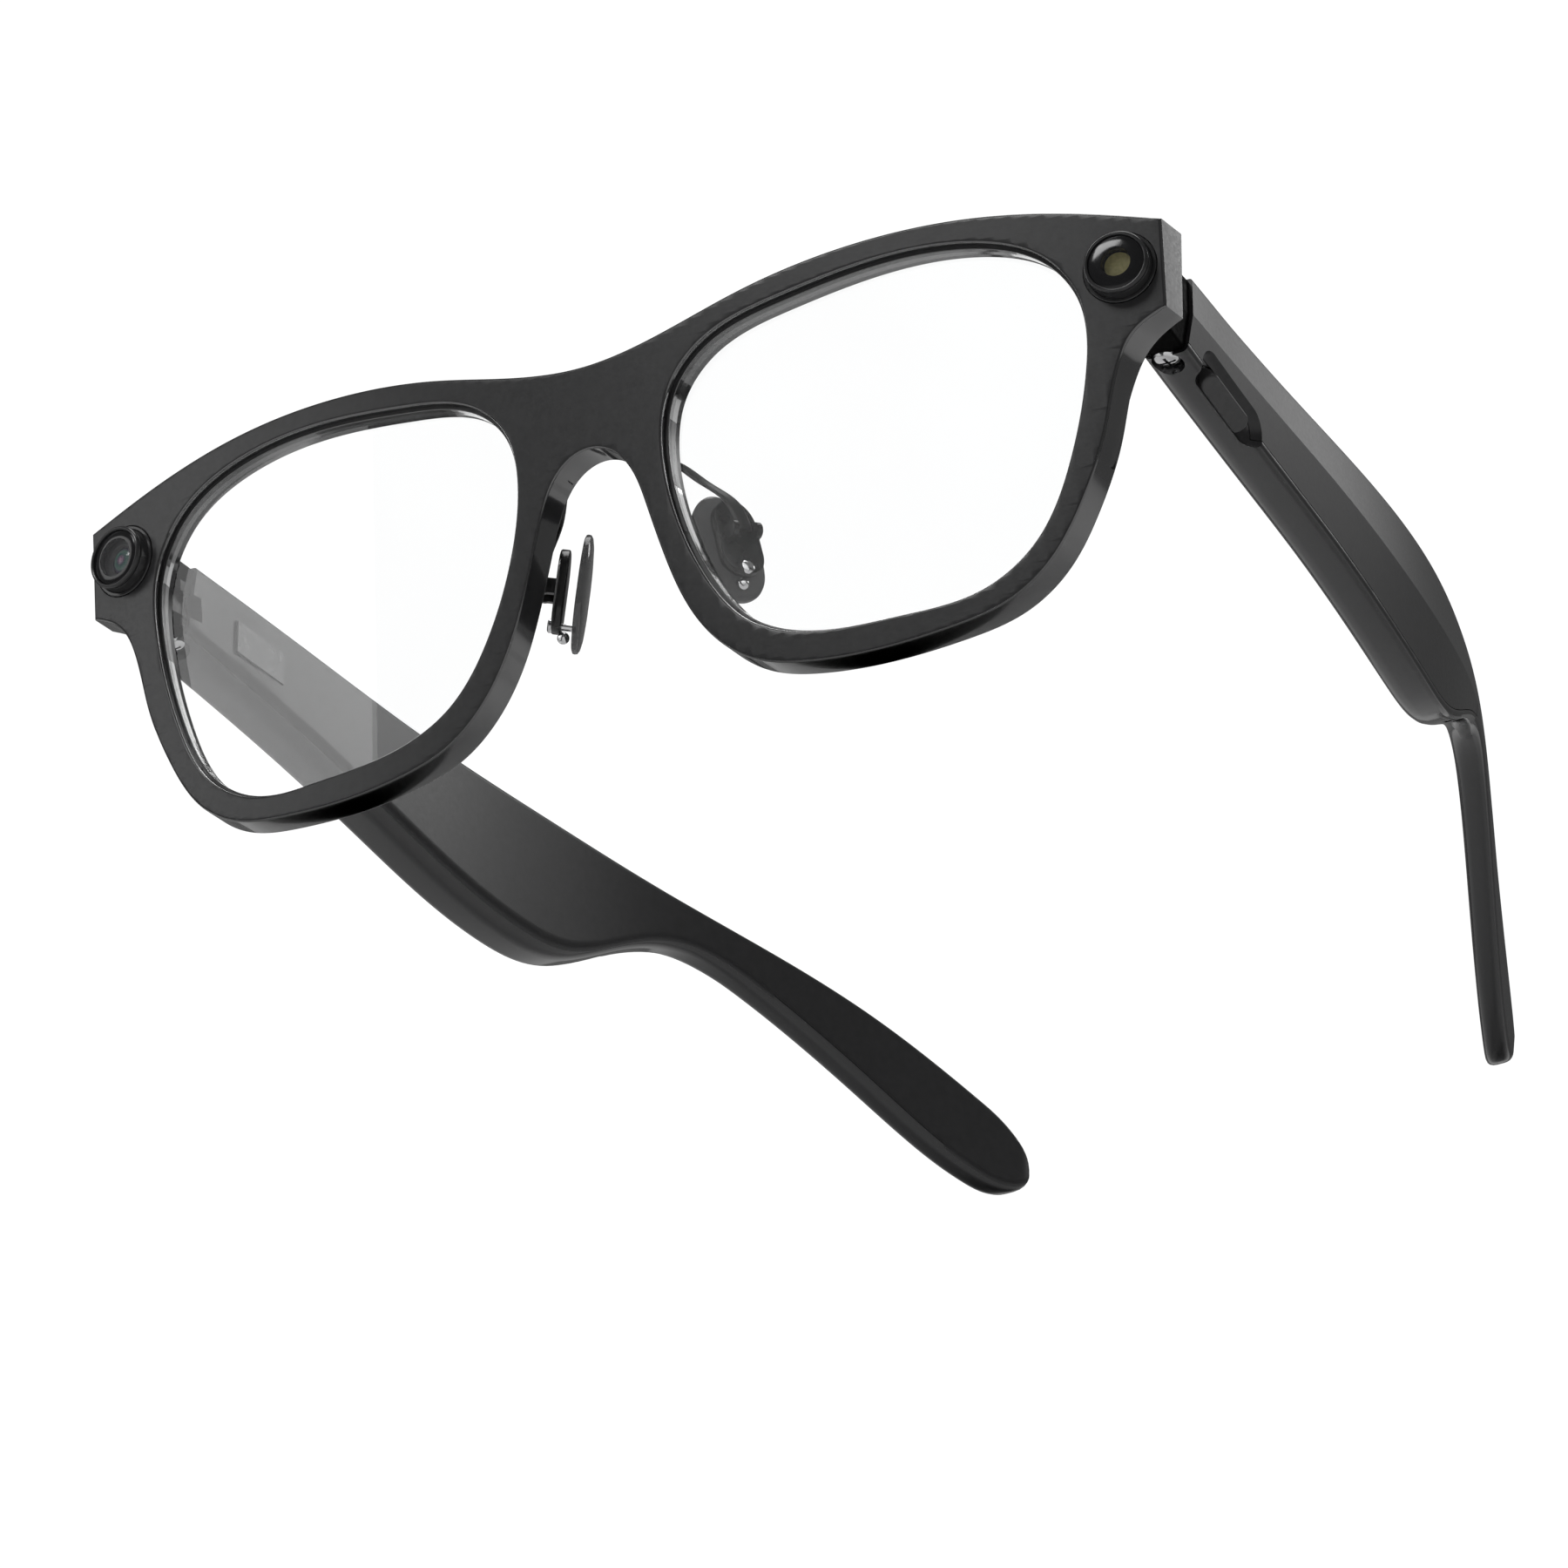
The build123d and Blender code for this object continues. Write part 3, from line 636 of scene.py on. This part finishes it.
def temples():
    """The shells, outer covers and black bands, with room for the hinges and the button."""
    for name, side in SIDES.items():
        body = f"{name}_temple"
        shell = shell_mesh(f"shell_skin_{name}", side)
        cover = cover_mesh(f"cover_skin_{name}", side)
        band = band_mesh(f"band_skin_{name}", side)
        hinge_room = hinge_tools(side)
        cut(band, hinge_room[:1])
        shell_tools = hinge_room + sound_slot_tools(side)
        if name == "left":
            button_tools = [scoop_tool(side), well_tool(side)]
            cut(cover, button_tools)
            shell_tools += button_tools
        else:
            shell_tools.append(node_pocket("temple_contact_plate_right"))
        cut(shell, shell_tools)
        remove(shell_tools)
        for piece, node in ((shell, "temple_shell_"), (cover, "temple_outer_cover_")):
            soften(piece)
            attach(piece, body)
            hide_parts(node + name)
            dress(piece, "frame_plastic")
        polish_edges(shell)
        soften(band)
        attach(band, body)
        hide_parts("temple_end_cap_" + name)
        dress(band, "band")


# ---------------------------------------------------------------- front
def wrapped(x, depth, z):
    """A point of the flat front, bent round the wearer's face and leant back."""
    radius = FRONT_RADIUS - depth
    y = FRONT_RADIUS - math.sqrt(max(radius**2 - x * x, 0))
    return Matrix.Rotation(FRONT_TILT, 4, "X") @ Vector((x, y, z))


def wrapped_normal():
    """The way the middle of the front faces."""
    return Matrix.Rotation(FRONT_TILT, 3, "X") @ Vector((0, -1, 0))


def both_sides(points):
    """A run of points from the wearer's left to the middle, carried on to the right."""
    return points + [(-x, z) for x, z in points[-2::-1]]


def outline_runs():
    """The front's top edge and its underside, each from the wearer's left to the right."""
    return through(both_sides(BROW[::-1]), 181), through(both_sides(UNDERSIDE), 381)


def outer_loop():
    top, bottom = outline_runs()
    return top[::-1] + bottom


def opening_loop(side, shift=0.0):
    """A lens opening, moved out by a distance."""
    loop = moved_out(through(OPENING, 220, closed=True), shift)
    return [(side * x, z) for x, z in loop]


def flat_plate(name, loops, start, end, edge):
    """A flat plate between two depths with rounded edges, holes and all, then wrapped."""
    curve = bpy.data.curves.new(name, "CURVE")
    curve.dimensions = "2D"
    curve.fill_mode = "BOTH"
    curve.extrude = (end - start) / 2 - edge
    curve.bevel_depth = edge
    curve.bevel_resolution = 2
    curve.offset = -edge
    for loop in loops:
        spline = curve.splines.new("POLY")
        spline.points.add(len(loop) - 1)
        for point, (x, z) in zip(spline.points, loop):
            point.co = (x, z, 0, 1)
        spline.use_cyclic_u = True
    flat = new_object(name + "_flat", curve)
    mesh = bmesh.new()
    mesh.from_mesh(evaluated_mesh(flat))
    remove([flat])
    bmesh.ops.remove_doubles(mesh, verts=mesh.verts, dist=0.002)
    # enough cuts across it for the wrap to be smooth
    for x in range(-70, 71, 2):
        everything = mesh.verts[:] + mesh.edges[:] + mesh.faces[:]
        bmesh.ops.bisect_plane(mesh, geom=everything, plane_co=(x, 0, 0), plane_no=(1, 0, 0))
    middle = (start + end) / 2
    for vert in mesh.verts:
        x, z, depth = vert.co.x, vert.co.y, vert.co.z
        vert.co = LEVEL @ wrapped(x, middle - depth, z)
    bmesh.ops.recalc_face_normals(mesh, faces=mesh.faces)
    return object_from(name, mesh)


def block_back(x, z, front_y):
    """How far back an end block reaches: less towards the lens and down the rim."""
    shallow = front_y + BLOCK_SHALLOW
    down = fade(-z, *BLOCK_LOW_FADE)
    inside = 0.55 + 0.45 * fade(x, *BLOCK_SIDE_FADE)
    return shallow + (BLOCK_BACK - shallow) * (1 - down) * inside


def end_block(side):
    """The thick corner behind a module: its walls run on from the rim's own outline."""
    top, low = outline_runs()
    top = [(x, z) for x, z in top if x > BLOCK_TOP_INNER]
    low = [(x, z) for x, z in low if x > BLOCK_INNER and z > -30]
    inner = [(BLOCK_INNER, z) for z in np.linspace(low[-1][1], 2.0, 9)]
    outline = moved_out((low + inner + top[::-1])[::-1], BLOCK_PROUD)
    rings = []
    for share, shrink in BLOCK_RINGS:
        ring = []
        for x, z in moved_out(outline, -shrink):
            near = wrapped(x, 0.0, z)
            deeper = (block_back(x, z, near.y) - near.y) * share
            x_kept = min(x, HALF_WIDTH - 0.002)
            ring.append((side * x_kept, near.y + deeper, near.z + deeper * math.tan(FRONT_TILT)))
        rings.append(ring)
    return loft(f"end_block_{side}", rings)


def module_axis(side):
    """The camera's or the light's place on the front face, its z axis pointing out."""
    angle = math.asin(MODULE_X / FRONT_RADIUS)
    y = FRONT_RADIUS * (1 - math.cos(angle))
    out = (side * math.sin(angle), -math.cos(angle), 0)
    lean = Matrix.Rotation(FRONT_TILT, 4, "X")
    return lean @ facing_place((side * MODULE_X, y, MODULE_Z), (0, 0, 1), out)


def lathe(mesh, profile, place, points=96):
    """Turn a closed (radius, height) profile about a place's z axis, into a working mesh."""
    loops = []
    for i in range(points):
        angle = 2 * math.pi * i / points
        spots = [Vector((r * math.cos(angle), r * math.sin(angle), h)) for r, h in profile]
        loops.append([mesh.verts.new(LEVEL @ place @ spot) for spot in spots])
    faces = []
    for i in range(points):
        near, far = loops[i], loops[(i + 1) % points]
        for k in range(len(profile)):
            j = (k + 1) % len(profile)
            faces.append(mesh.faces.new((near[k], far[k], far[j], near[j])))
    return faces


def modules():
    """The bezels and cover glasses: a black masked glass with a clear window in its middle."""
    for name, side in (("light", 1), ("camera", -1)):
        place = module_axis(side)
        mesh = bmesh.new()
        lathe(mesh, BEZEL, place)
        ring = finished(f"{name}_bezel_skin", mesh)
        window = WINDOW[name]
        mask = [
            (window, GLASS_BACK), (GLASS_RADIUS, GLASS_BACK), (GLASS_RADIUS, GLASS_FRONT - 0.08),
            (GLASS_RADIUS - 0.08, GLASS_FRONT - 0.02), (window, GLASS_FRONT),
        ]
        # the window's pane stands a hair clear of the masked ring
        pane = [
            (0.0, GLASS_BACK + 0.02), (window - 0.01, GLASS_BACK + 0.02),
            (window - 0.01, GLASS_FRONT - 0.02), (0.0, GLASS_FRONT),
        ]
        mesh = bmesh.new()
        lathe(mesh, mask, place)
        for face in lathe(mesh, pane, place):
            face.material_index = 1
        glass = finished(f"{name}_glass_skin", mesh)
        cover = "light_cover" if name == "light" else "camera_cover_glass"
        for piece, node, slot in ((ring, f"{name}_bezel", "bezel"), (glass, cover, "cover_glass")):
            smooth_shaded(piece, 40)
            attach(piece, "front")
            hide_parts(node)
        dress(ring, "bezel")
        dress(glass, "mask", "window")


def smooth_shaded(thing, angle):
    """Smooth shading, with edges sharper than an angle in degrees left crisp."""
    for polygon in thing.data.polygons:
        polygon.use_smooth = True
    thing.data.set_sharp_from_angle(angle=math.radians(angle))


def pad_place(side):
    """A pad's seat: x runs up its height, z points at the nose."""
    return mirrored(side) @ facing_place(PAD_CENTRE, PAD_UP, PAD_FACING)


def pad_disc(name, size, profile, side):
    """A flat oval in a pad's seat, a little narrower at the top."""
    length, width, straight = size
    rings = []
    for scale, height in profile:
        ring = []
        for i in range(72):
            angle = 2 * math.pi * i / 72
            long, wide = math.cos(angle), math.sin(angle)
            along = scale * (length - straight) / 2 * long + math.copysign(straight / 2, long)
            across = scale * width / 2 * wide * (1 - 0.1 * long)
            ring.append(pad_place(side) @ Vector((along, across, height)))
        rings.append(ring)
    return loft(name, rings)


def pad_arm(name, side):
    """A flat strip from the bridge's back, over the pad's mount and down to its rocking pin."""
    _, wide, thick = [Vector(row[:3]) for row in pad_place(1).transposed()[:3]]
    narrowest, widest = ARM_HALF_WIDTHS
    rings = []
    for i, spot in enumerate(through(ARM_PATH, 24)):
        across = (narrowest + (widest - narrowest) * fade(i, 0, 12)) * wide
        ring = []
        for k in range(16):
            angle = 2 * math.pi * k / 16
            reach = math.cos(angle) * across + math.sin(angle) * ARM_HALF_THICKNESS * thick
            ring.append(mirrored(side) @ (Vector(spot) + reach))
        rings.append(ring)
    return loft(name, rings)


def pad_clasp(name, side):
    """The bright clasp at the foot of a mount: a pin into the pad and a ball beside it."""
    ball = [
        (CLASP_BALL_RADIUS * math.sin(t), -CLASP_BALL_RADIUS * math.cos(t))
        for t in np.linspace(0, math.pi, 13)
    ]
    mesh = bmesh.new()
    for profile, spot in ((CLASP_PIN, CLASP_PIN_PLACE), (ball, CLASP_BALL_PLACE)):
        lathe(mesh, profile, pad_place(side) @ Matrix.Translation(spot), 40)
    return finished(name, mesh)


def pad_mount(name, side):
    """The black plate behind a pad, with the two ears that it rocks on."""
    plate = pad_disc(name, MOUNT_SIZE, MOUNT_PROFILE, side)
    seat = pad_place(side)
    axis = seat @ Matrix.Translation((0, 0, PAD_AXIS)) @ Matrix.Rotation(math.pi / 2, 4, "X")
    mesh = bmesh.new()
    mesh.from_mesh(plate.data)
    remove([plate])
    for start, end in EAR_RUNS:
        ear = [
            (0, start), (EAR_RADIUS - 0.15, start), (EAR_RADIUS, start + 0.1),
            (EAR_RADIUS, end - 0.1), (EAR_RADIUS - 0.15, end), (0, end),
        ]
        lathe(mesh, ear, axis, 40)
        low = (-EAR_HALF_WIDTH, start, PAD_AXIS)
        high = (EAR_HALF_WIDTH, end, MOUNT_BACK)
        add_box(mesh, low, high, seat)
    return finished(name, mesh)


def nose_pads():
    """Smoky silicone pads, domed towards the nose, with their mounts, clasps and arms."""
    for name, side in SIDES.items():
        body = f"{name}_pad"
        pad = pad_disc(f"pad_skin_{name}", PAD_SIZE, PAD_PROFILE, side)
        mount = pad_mount(f"pad_mount_skin_{name}", side)
        clasp = pad_clasp(f"pad_pin_skin_{name}", side)
        arm = pad_arm(f"pad_arm_skin_{name}", side)
        for piece, carrier, node, slot, finish in (
            (pad, body, "nose_pad_", "silicone", "silicone"),
            (mount, body, "nose_pad_mount_", "pad_mount", "pad_mount"),
            (clasp, body, "nose_pad_screw_", "polished_steel", "polished_steel"),
            (arm, "front", "nose_pad_arm_", "steel", "dark_steel"),
        ):
            smooth_shaded(piece, 40)
            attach(piece, carrier)
            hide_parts(node + name)
            dress(piece, finish)


def front():
    """The rims and bridge, a step inside each rim, and the end blocks, as one skin."""
    loops = [outer_loop()] + [opening_loop(side) for side in SIDES.values()]
    plate = flat_plate("front_skin", loops, 0.0, RIM_DEPTH, RIM_EDGE)
    tools = []
    for side in SIDES.values():
        axis = module_axis(side)
        tools.append(round_tool(*BEZEL_SEAT, axis, 96))
        tools.append(round_tool(*BARREL_BORE, axis, 96))
    cut(plate, tools)
    parts = [plate]
    for name, side in SIDES.items():
        loops = [opening_loop(side, STEP_OUT), opening_loop(side, STEP_IN)]
        parts.append(flat_plate(f"rim_step_{name}", loops, STEP_START, STEP_END, STEP_EDGE))
        block = end_block(side)
        cut(block, tools)
        parts.append(block)
    mesh = bmesh.new()
    for part in parts:
        mesh.from_mesh(part.data)
    remove(tools + parts)
    skin = object_from("front_skin", mesh)
    smooth_shaded(skin, 40)
    normals = skin.modifiers.new("normals", "WEIGHTED_NORMAL")
    normals.keep_sharp = True
    dress(skin, "frame_plastic", "polished_wall")
    # polished where the skin looks sideways, except at the far ends
    facing = (LEVEL.to_3x3() @ wrapped_normal()).normalized()
    for polygon in skin.data.polygons:
        polished = abs(polygon.normal.dot(facing)) < 0.75 and abs(polygon.normal.x) < 0.985
        polygon.material_index = 1 if polished else 0
    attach(skin, "front")
    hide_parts("front_frame")


# ---------------------------------------------------------------- materials
def shader(name, colour, roughness, metallic=0.0):
    """A new material and its principled shader."""
    material = bpy.data.materials.new(name)
    material.use_nodes = True
    principled = material.node_tree.nodes["Principled BSDF"]
    principled.inputs["Base Color"].default_value = (*colour, 1)
    principled.inputs["Roughness"].default_value = roughness
    principled.inputs["Metallic"].default_value = metallic
    return material, principled


def noise(material, scale, detail):
    """A noise texture fixed to the object; its scale is in cells per metre."""
    tree = material.node_tree
    place = tree.nodes.new("ShaderNodeTexCoord")
    texture = tree.nodes.new("ShaderNodeTexNoise")
    texture.inputs["Scale"].default_value = scale
    texture.inputs["Detail"].default_value = detail
    tree.links.new(place.outputs["Object"], texture.inputs["Vector"])
    return texture


def vary(material, principled, socket, low, high, scale, detail=2.0):
    """Drive a socket between two values with noise."""
    tree = material.node_tree
    texture = noise(material, scale, detail)
    if isinstance(low, tuple):
        ramp = tree.nodes.new("ShaderNodeValToRGB")
        ramp.color_ramp.elements[0].position = NOISE_LOW
        ramp.color_ramp.elements[1].position = NOISE_HIGH
        ramp.color_ramp.elements[0].color = (*low, 1)
        ramp.color_ramp.elements[1].color = (*high, 1)
        tree.links.new(texture.outputs["Fac"], ramp.inputs["Fac"])
        tree.links.new(ramp.outputs["Color"], principled.inputs[socket])
        return
    spread = tree.nodes.new("ShaderNodeMapRange")
    spread.inputs["From Min"].default_value = NOISE_LOW
    spread.inputs["From Max"].default_value = NOISE_HIGH
    spread.inputs["To Min"].default_value = low
    spread.inputs["To Max"].default_value = high
    tree.links.new(texture.outputs["Fac"], spread.inputs["Value"])
    tree.links.new(spread.outputs["Result"], principled.inputs[socket])


def bumpy(material, principled, scale, distance, strength=0.3):
    """A fine grain: its distance is in metres."""
    tree = material.node_tree
    texture = noise(material, scale, 3.0)
    bump = tree.nodes.new("ShaderNodeBump")
    bump.inputs["Strength"].default_value = strength
    bump.inputs["Distance"].default_value = distance
    tree.links.new(texture.outputs["Fac"], bump.inputs["Height"])
    tree.links.new(bump.outputs["Normal"], principled.inputs["Normal"])


def satin_black():
    material, principled = shader("satin_black", (0.024, 0.024, 0.025), 0.36)
    vary(material, principled, "Base Color", (0.021, 0.021, 0.022), (0.027, 0.027, 0.028), 900)
    vary(material, principled, "Roughness", 0.29, 0.35, 2400)
    bumpy(material, principled, 4200, 0.000008, 0.12)
    return material


def gloss_black():
    material, principled = shader("gloss_black", (0.008, 0.008, 0.009), 0.12)
    vary(material, principled, "Roughness", 0.09, 0.16, 1500)
    return material


def band_black():
    """Near-black with hardly any reflection, so that it stays dark at every angle."""
    material, principled = shader("band_black", (0.002, 0.002, 0.002), 0.5)
    principled.inputs["Specular IOR Level"].default_value = 0.03
    vary(material, principled, "Roughness", 0.45, 0.6, 1500)
    return material


def moulded(name, colour, roughness):
    """Plain moulded plastic."""
    material, principled = shader(name, colour, roughness)
    darker = tuple(0.8 * c for c in colour)
    vary(material, principled, "Base Color", darker, colour, 1200)
    vary(material, principled, "Roughness", roughness - 0.04, roughness + 0.04, 1100)
    return material


def metal(name, colour, roughness):
    material, principled = shader(name, colour, roughness, 1.0)
    vary(material, principled, "Roughness", roughness * 0.8, roughness * 1.2, 1500)
    return material


def radial(material, principled, centre, rings):
    """Colour rings round a point of the object: rings are (radius in mm, colour)."""
    tree = material.node_tree
    place = tree.nodes.new("ShaderNodeTexCoord")
    distance = tree.nodes.new("ShaderNodeVectorMath")
    distance.operation = "DISTANCE"
    distance.inputs[1].default_value = centre
    reach = tree.nodes.new("ShaderNodeMath")
    reach.operation = "DIVIDE"
    reach.inputs[1].default_value = rings[-1][0] * MM
    ramp = tree.nodes.new("ShaderNodeValToRGB")
    stops = ramp.color_ramp.elements
    for radius, _ in rings[1:-1]:
        stops.new(radius / rings[-1][0])
    for stop, (radius, colour) in zip(stops, rings):
        stop.position = radius / rings[-1][0]
        stop.color = (*colour, 1)
    tree.links.new(place.outputs["Object"], distance.inputs[0])
    tree.links.new(distance.outputs["Value"], reach.inputs[0])
    tree.links.new(reach.outputs[0], ramp.inputs["Fac"])
    tree.links.new(ramp.outputs["Color"], principled.inputs["Base Color"])


def camera_element_painted_reflections():
    """The camera's front element: green and violet rings painted into its colour as a painted reflection of its
    coating, with a bright violet painted highlight in the middle.
    """
    material, principled = shader("coated_element_painted_reflections", (0.02, 0.02, 0.03), 0.06)
    principled.inputs["Coat Weight"].default_value = 1.0
    principled.inputs["Coat Roughness"].default_value = 0.02
    centre = LEVEL @ module_axis(-1) @ Vector((0, 0, 0.6))
    # painted reflection rings in the base colour, with a bright violet painted highlight at the centre
    rings = [
        (0, (0.5, 0.2, 0.36)), (0.35, (0.16, 0.06, 0.16)), (0.7, (0.03, 0.12, 0.12)),
        (1.1, (0.1, 0.26, 0.2)), (1.45, (0.06, 0.05, 0.13)), (1.8, (0.02, 0.02, 0.025)),
    ]
    radial(material, principled, centre, rings)
    return material


def polished(name, coat_ior):
    """Black plastic under a clear coat; a higher coat IOR reflects more."""
    material, principled = shader(name, (0.014, 0.014, 0.015), 0.16)
    principled.inputs["Coat Weight"].default_value = 1.0
    principled.inputs["Coat IOR"].default_value = coat_ior
    principled.inputs["Coat Roughness"].default_value = 0.06
    vary(material, principled, "Roughness", 0.13, 0.2, 1100)
    return material


def emitter():
    # painted glow: the LED is off, and its faint olive emission stands in for the studio light that the cover
    # glass keeps off it
    material, principled = shader("olive_emitter_painted_glow", (0.5, 0.46, 0.2), 0.5)
    principled.inputs["Emission Color"].default_value = (0.5, 0.45, 0.18, 1)
    principled.inputs["Emission Strength"].default_value = 0.05
    vary(material, principled, "Base Color", (0.38, 0.35, 0.14), (0.55, 0.5, 0.22), 2500)
    return material


def window_glass():
    material, principled = shader("window_glass", (0.05, 0.05, 0.055), 0.04)
    principled.inputs["Alpha"].default_value = 0.22
    vary(material, principled, "Roughness", 0.03, 0.06, 800)
    return material


def clear_glass(name, colour):
    material, principled = shader(name, colour, 0.0)
    principled.inputs["Transmission Weight"].default_value = 1.0
    principled.inputs["IOR"].default_value = 1.45
    tint = tuple(0.99 * c for c in colour)
    vary(material, principled, "Base Color", tint, colour, 60)
    return material


def coated_glass(name, inner, outer):
    """A dark camera glass under a clear coat; a green and violet tint painted into its colour, varied at random,
    stands in for the tint its coating gives its reflections.
    """
    material, principled = shader(name, (0.01, 0.01, 0.012), 0.05)
    principled.inputs["Coat Weight"].default_value = 1.0
    principled.inputs["Coat Roughness"].default_value = 0.03
    # painted reflection: the tint in the base colour stands in for the coating's tinted reflections
    vary(material, principled, "Base Color", inner, outer, 500, 0.0)
    return material


def silicone():
    material, principled = shader("clear_silicone", (0.06, 0.06, 0.062), 0.1)
    principled.inputs["Alpha"].default_value = 0.82
    vary(material, principled, "Base Color", (0.035, 0.035, 0.036), (0.05, 0.05, 0.052), 700)
    return material


def circuit_board():
    material, principled = shader("solder_mask", (0.01, 0.09, 0.04), 0.3)
    vary(material, principled, "Base Color", (0.008, 0.07, 0.03), (0.03, 0.14, 0.06), 1600, 0.0)
    bumpy(material, principled, 1800, 0.00005)
    return material


def paint():
    finishes = {
        "frame_plastic": satin_black(),
        "gloss_trim": gloss_black(),
        "band": band_black(),
        "bezel": moulded("bezel_black", (0.03, 0.03, 0.031), 0.18),
        "black_barrel": moulded("barrel_black", (0.012, 0.012, 0.012), 0.5),
        "button": moulded("button_black", (0.05, 0.05, 0.051), 0.34),
        "pad_mount": moulded("pad_mount_black", (0.02, 0.02, 0.02), 0.2),
        "contacts": moulded("contact_black", (0.05, 0.05, 0.052), 0.3),
        "sensor": coated_glass("sensor_glass", (0.05, 0.02, 0.06), (0.02, 0.04, 0.05)),
        "emitter": emitter(),
        "mask": gloss_black(),
        "window": window_glass(),
        "polished_wall": polished("polished_wall", 2.1),
        "polished_edge": polished("polished_edge", 1.35),
        "dark_steel": metal("dark_steel", (0.05, 0.05, 0.05), 0.35),
        "element": camera_element_painted_reflections(),
        "polished_steel": metal("polished_steel", (0.82, 0.82, 0.83), 0.12),
        "steel": metal("brushed_steel", (0.6, 0.6, 0.61), 0.3),
        "battery": metal("foil", (0.62, 0.62, 0.64), 0.35),
        "speaker": metal("speaker_can", (0.2, 0.2, 0.21), 0.4),
        "black_metal": moulded("black_mesh", (0.006, 0.006, 0.006), 0.5),
        "circuit_board": circuit_board(),
        "silicone": silicone(),
        "lens": clear_glass("lens_glass", (0.97, 0.975, 0.975)),
        "cover_glass": clear_glass("smoked_glass", (0.12, 0.12, 0.12)),
        "coated_glass": coated_glass("coated_glass", (0.03, 0.09, 0.07), (0.06, 0.02, 0.08)),
    }
    slots = {entry["node"]: entry["material_slot"] for entry in frame["record"]["subparts"]}
    for name, node in nodes.items():
        node.data.materials.clear()
        finish = slots[name]
        if "leaf" in name or "pad_arm" in name:
            finish = "dark_steel"
        if name == "camera_front_element":
            finish = "element"
        node.data.materials.append(finishes[finish])
    return finishes


# ---------------------------------------------------------------- floor, light and camera
def area_light(name, spot, aim, size, power):
    data = bpy.data.lights.new(name, "AREA")
    data.shape = "RECTANGLE"
    data.size, data.size_y = size
    data.energy = power
    light = new_object(name, data)
    light.location = spot
    light.rotation_euler = (Vector(aim) - Vector(spot)).to_track_quat("-Z", "Y").to_euler()


def background(tree, strength):
    node = tree.nodes.new("ShaderNodeBackground")
    node.inputs["Color"].default_value = (1, 1, 1, 1)
    node.inputs["Strength"].default_value = strength
    return node


def studio():
    """A white world, bright where it is seen or looked at through glass, and soft lights."""
    world = bpy.data.worlds.new("studio")
    bpy.context.scene.world = world
    world.use_nodes = True
    tree = world.node_tree
    tree.nodes.clear()
    path = tree.nodes.new("ShaderNodeLightPath")
    either = tree.nodes.new("ShaderNodeMath")
    either.operation = "MAXIMUM"
    mix = tree.nodes.new("ShaderNodeMixShader")
    output = tree.nodes.new("ShaderNodeOutputWorld")
    tree.links.new(path.outputs["Is Camera Ray"], either.inputs[0])
    tree.links.new(path.outputs["Is Transmission Ray"], either.inputs[1])
    tree.links.new(either.outputs[0], mix.inputs["Fac"])
    tree.links.new(background(tree, WORLD_FILL).outputs[0], mix.inputs[1])
    tree.links.new(background(tree, WORLD_SEEN).outputs[0], mix.inputs[2])
    tree.links.new(mix.outputs[0], output.inputs["Surface"])
    for name, (spot, aim, size, power) in LIGHTS.items():
        area_light(name, spot, aim, size, power)


def floor():
    """A pale table top that hides nothing from a camera below it."""
    mesh = bmesh.new()
    bmesh.ops.create_grid(mesh, x_segments=1, y_segments=1, size=FLOOR_HALF)
    table = object_from("floor", mesh)
    material, principled = shader("pale_floor", (0.86, 0.86, 0.86), 0.6)
    tree = material.node_tree
    under = tree.nodes.new("ShaderNodeNewGeometry")
    clear = tree.nodes.new("ShaderNodeBsdfTransparent")
    mix = tree.nodes.new("ShaderNodeMixShader")
    tree.links.new(under.outputs["Backfacing"], mix.inputs["Fac"])
    tree.links.new(principled.outputs[0], mix.inputs[1])
    tree.links.new(clear.outputs[0], mix.inputs[2])
    tree.links.new(mix.outputs[0], tree.nodes["Material Output"].inputs["Surface"])
    table.data.materials.append(material)


def camera():
    """The photo's camera: in front and below, towards the wearer's left, with a long lens."""
    data = bpy.data.cameras.new("camera")
    data.sensor_width = CAMERA_SENSOR
    data.lens = CAMERA_LENS
    eye = new_object("camera", data)
    level = math.cos(CAMERA_CLIMB)
    right = Vector((math.cos(CAMERA_TURN), math.sin(CAMERA_TURN), 0))
    back = Vector((right.y * level, -right.x * level, math.sin(CAMERA_CLIMB)))
    up = back.cross(right)
    slide_right, slide_up = CAMERA_SLIDE
    spot = slide_right * right + slide_up * up + CAMERA_RANGE * back
    rows = Matrix((right, up, back)).transposed()
    turned = Matrix.Rotation(STAND_PITCH, 3, "X") @ rows
    eye.matrix_world = Matrix.Translation(LEVEL @ spot) @ turned.to_4x4()
    bpy.context.scene.camera = eye


finishes = paint()
front()
temples()
modules()
hinge_screws()
nose_pads()
floor()
studio()
camera()
bpy.context.scene.view_settings.view_transform = "Standard"
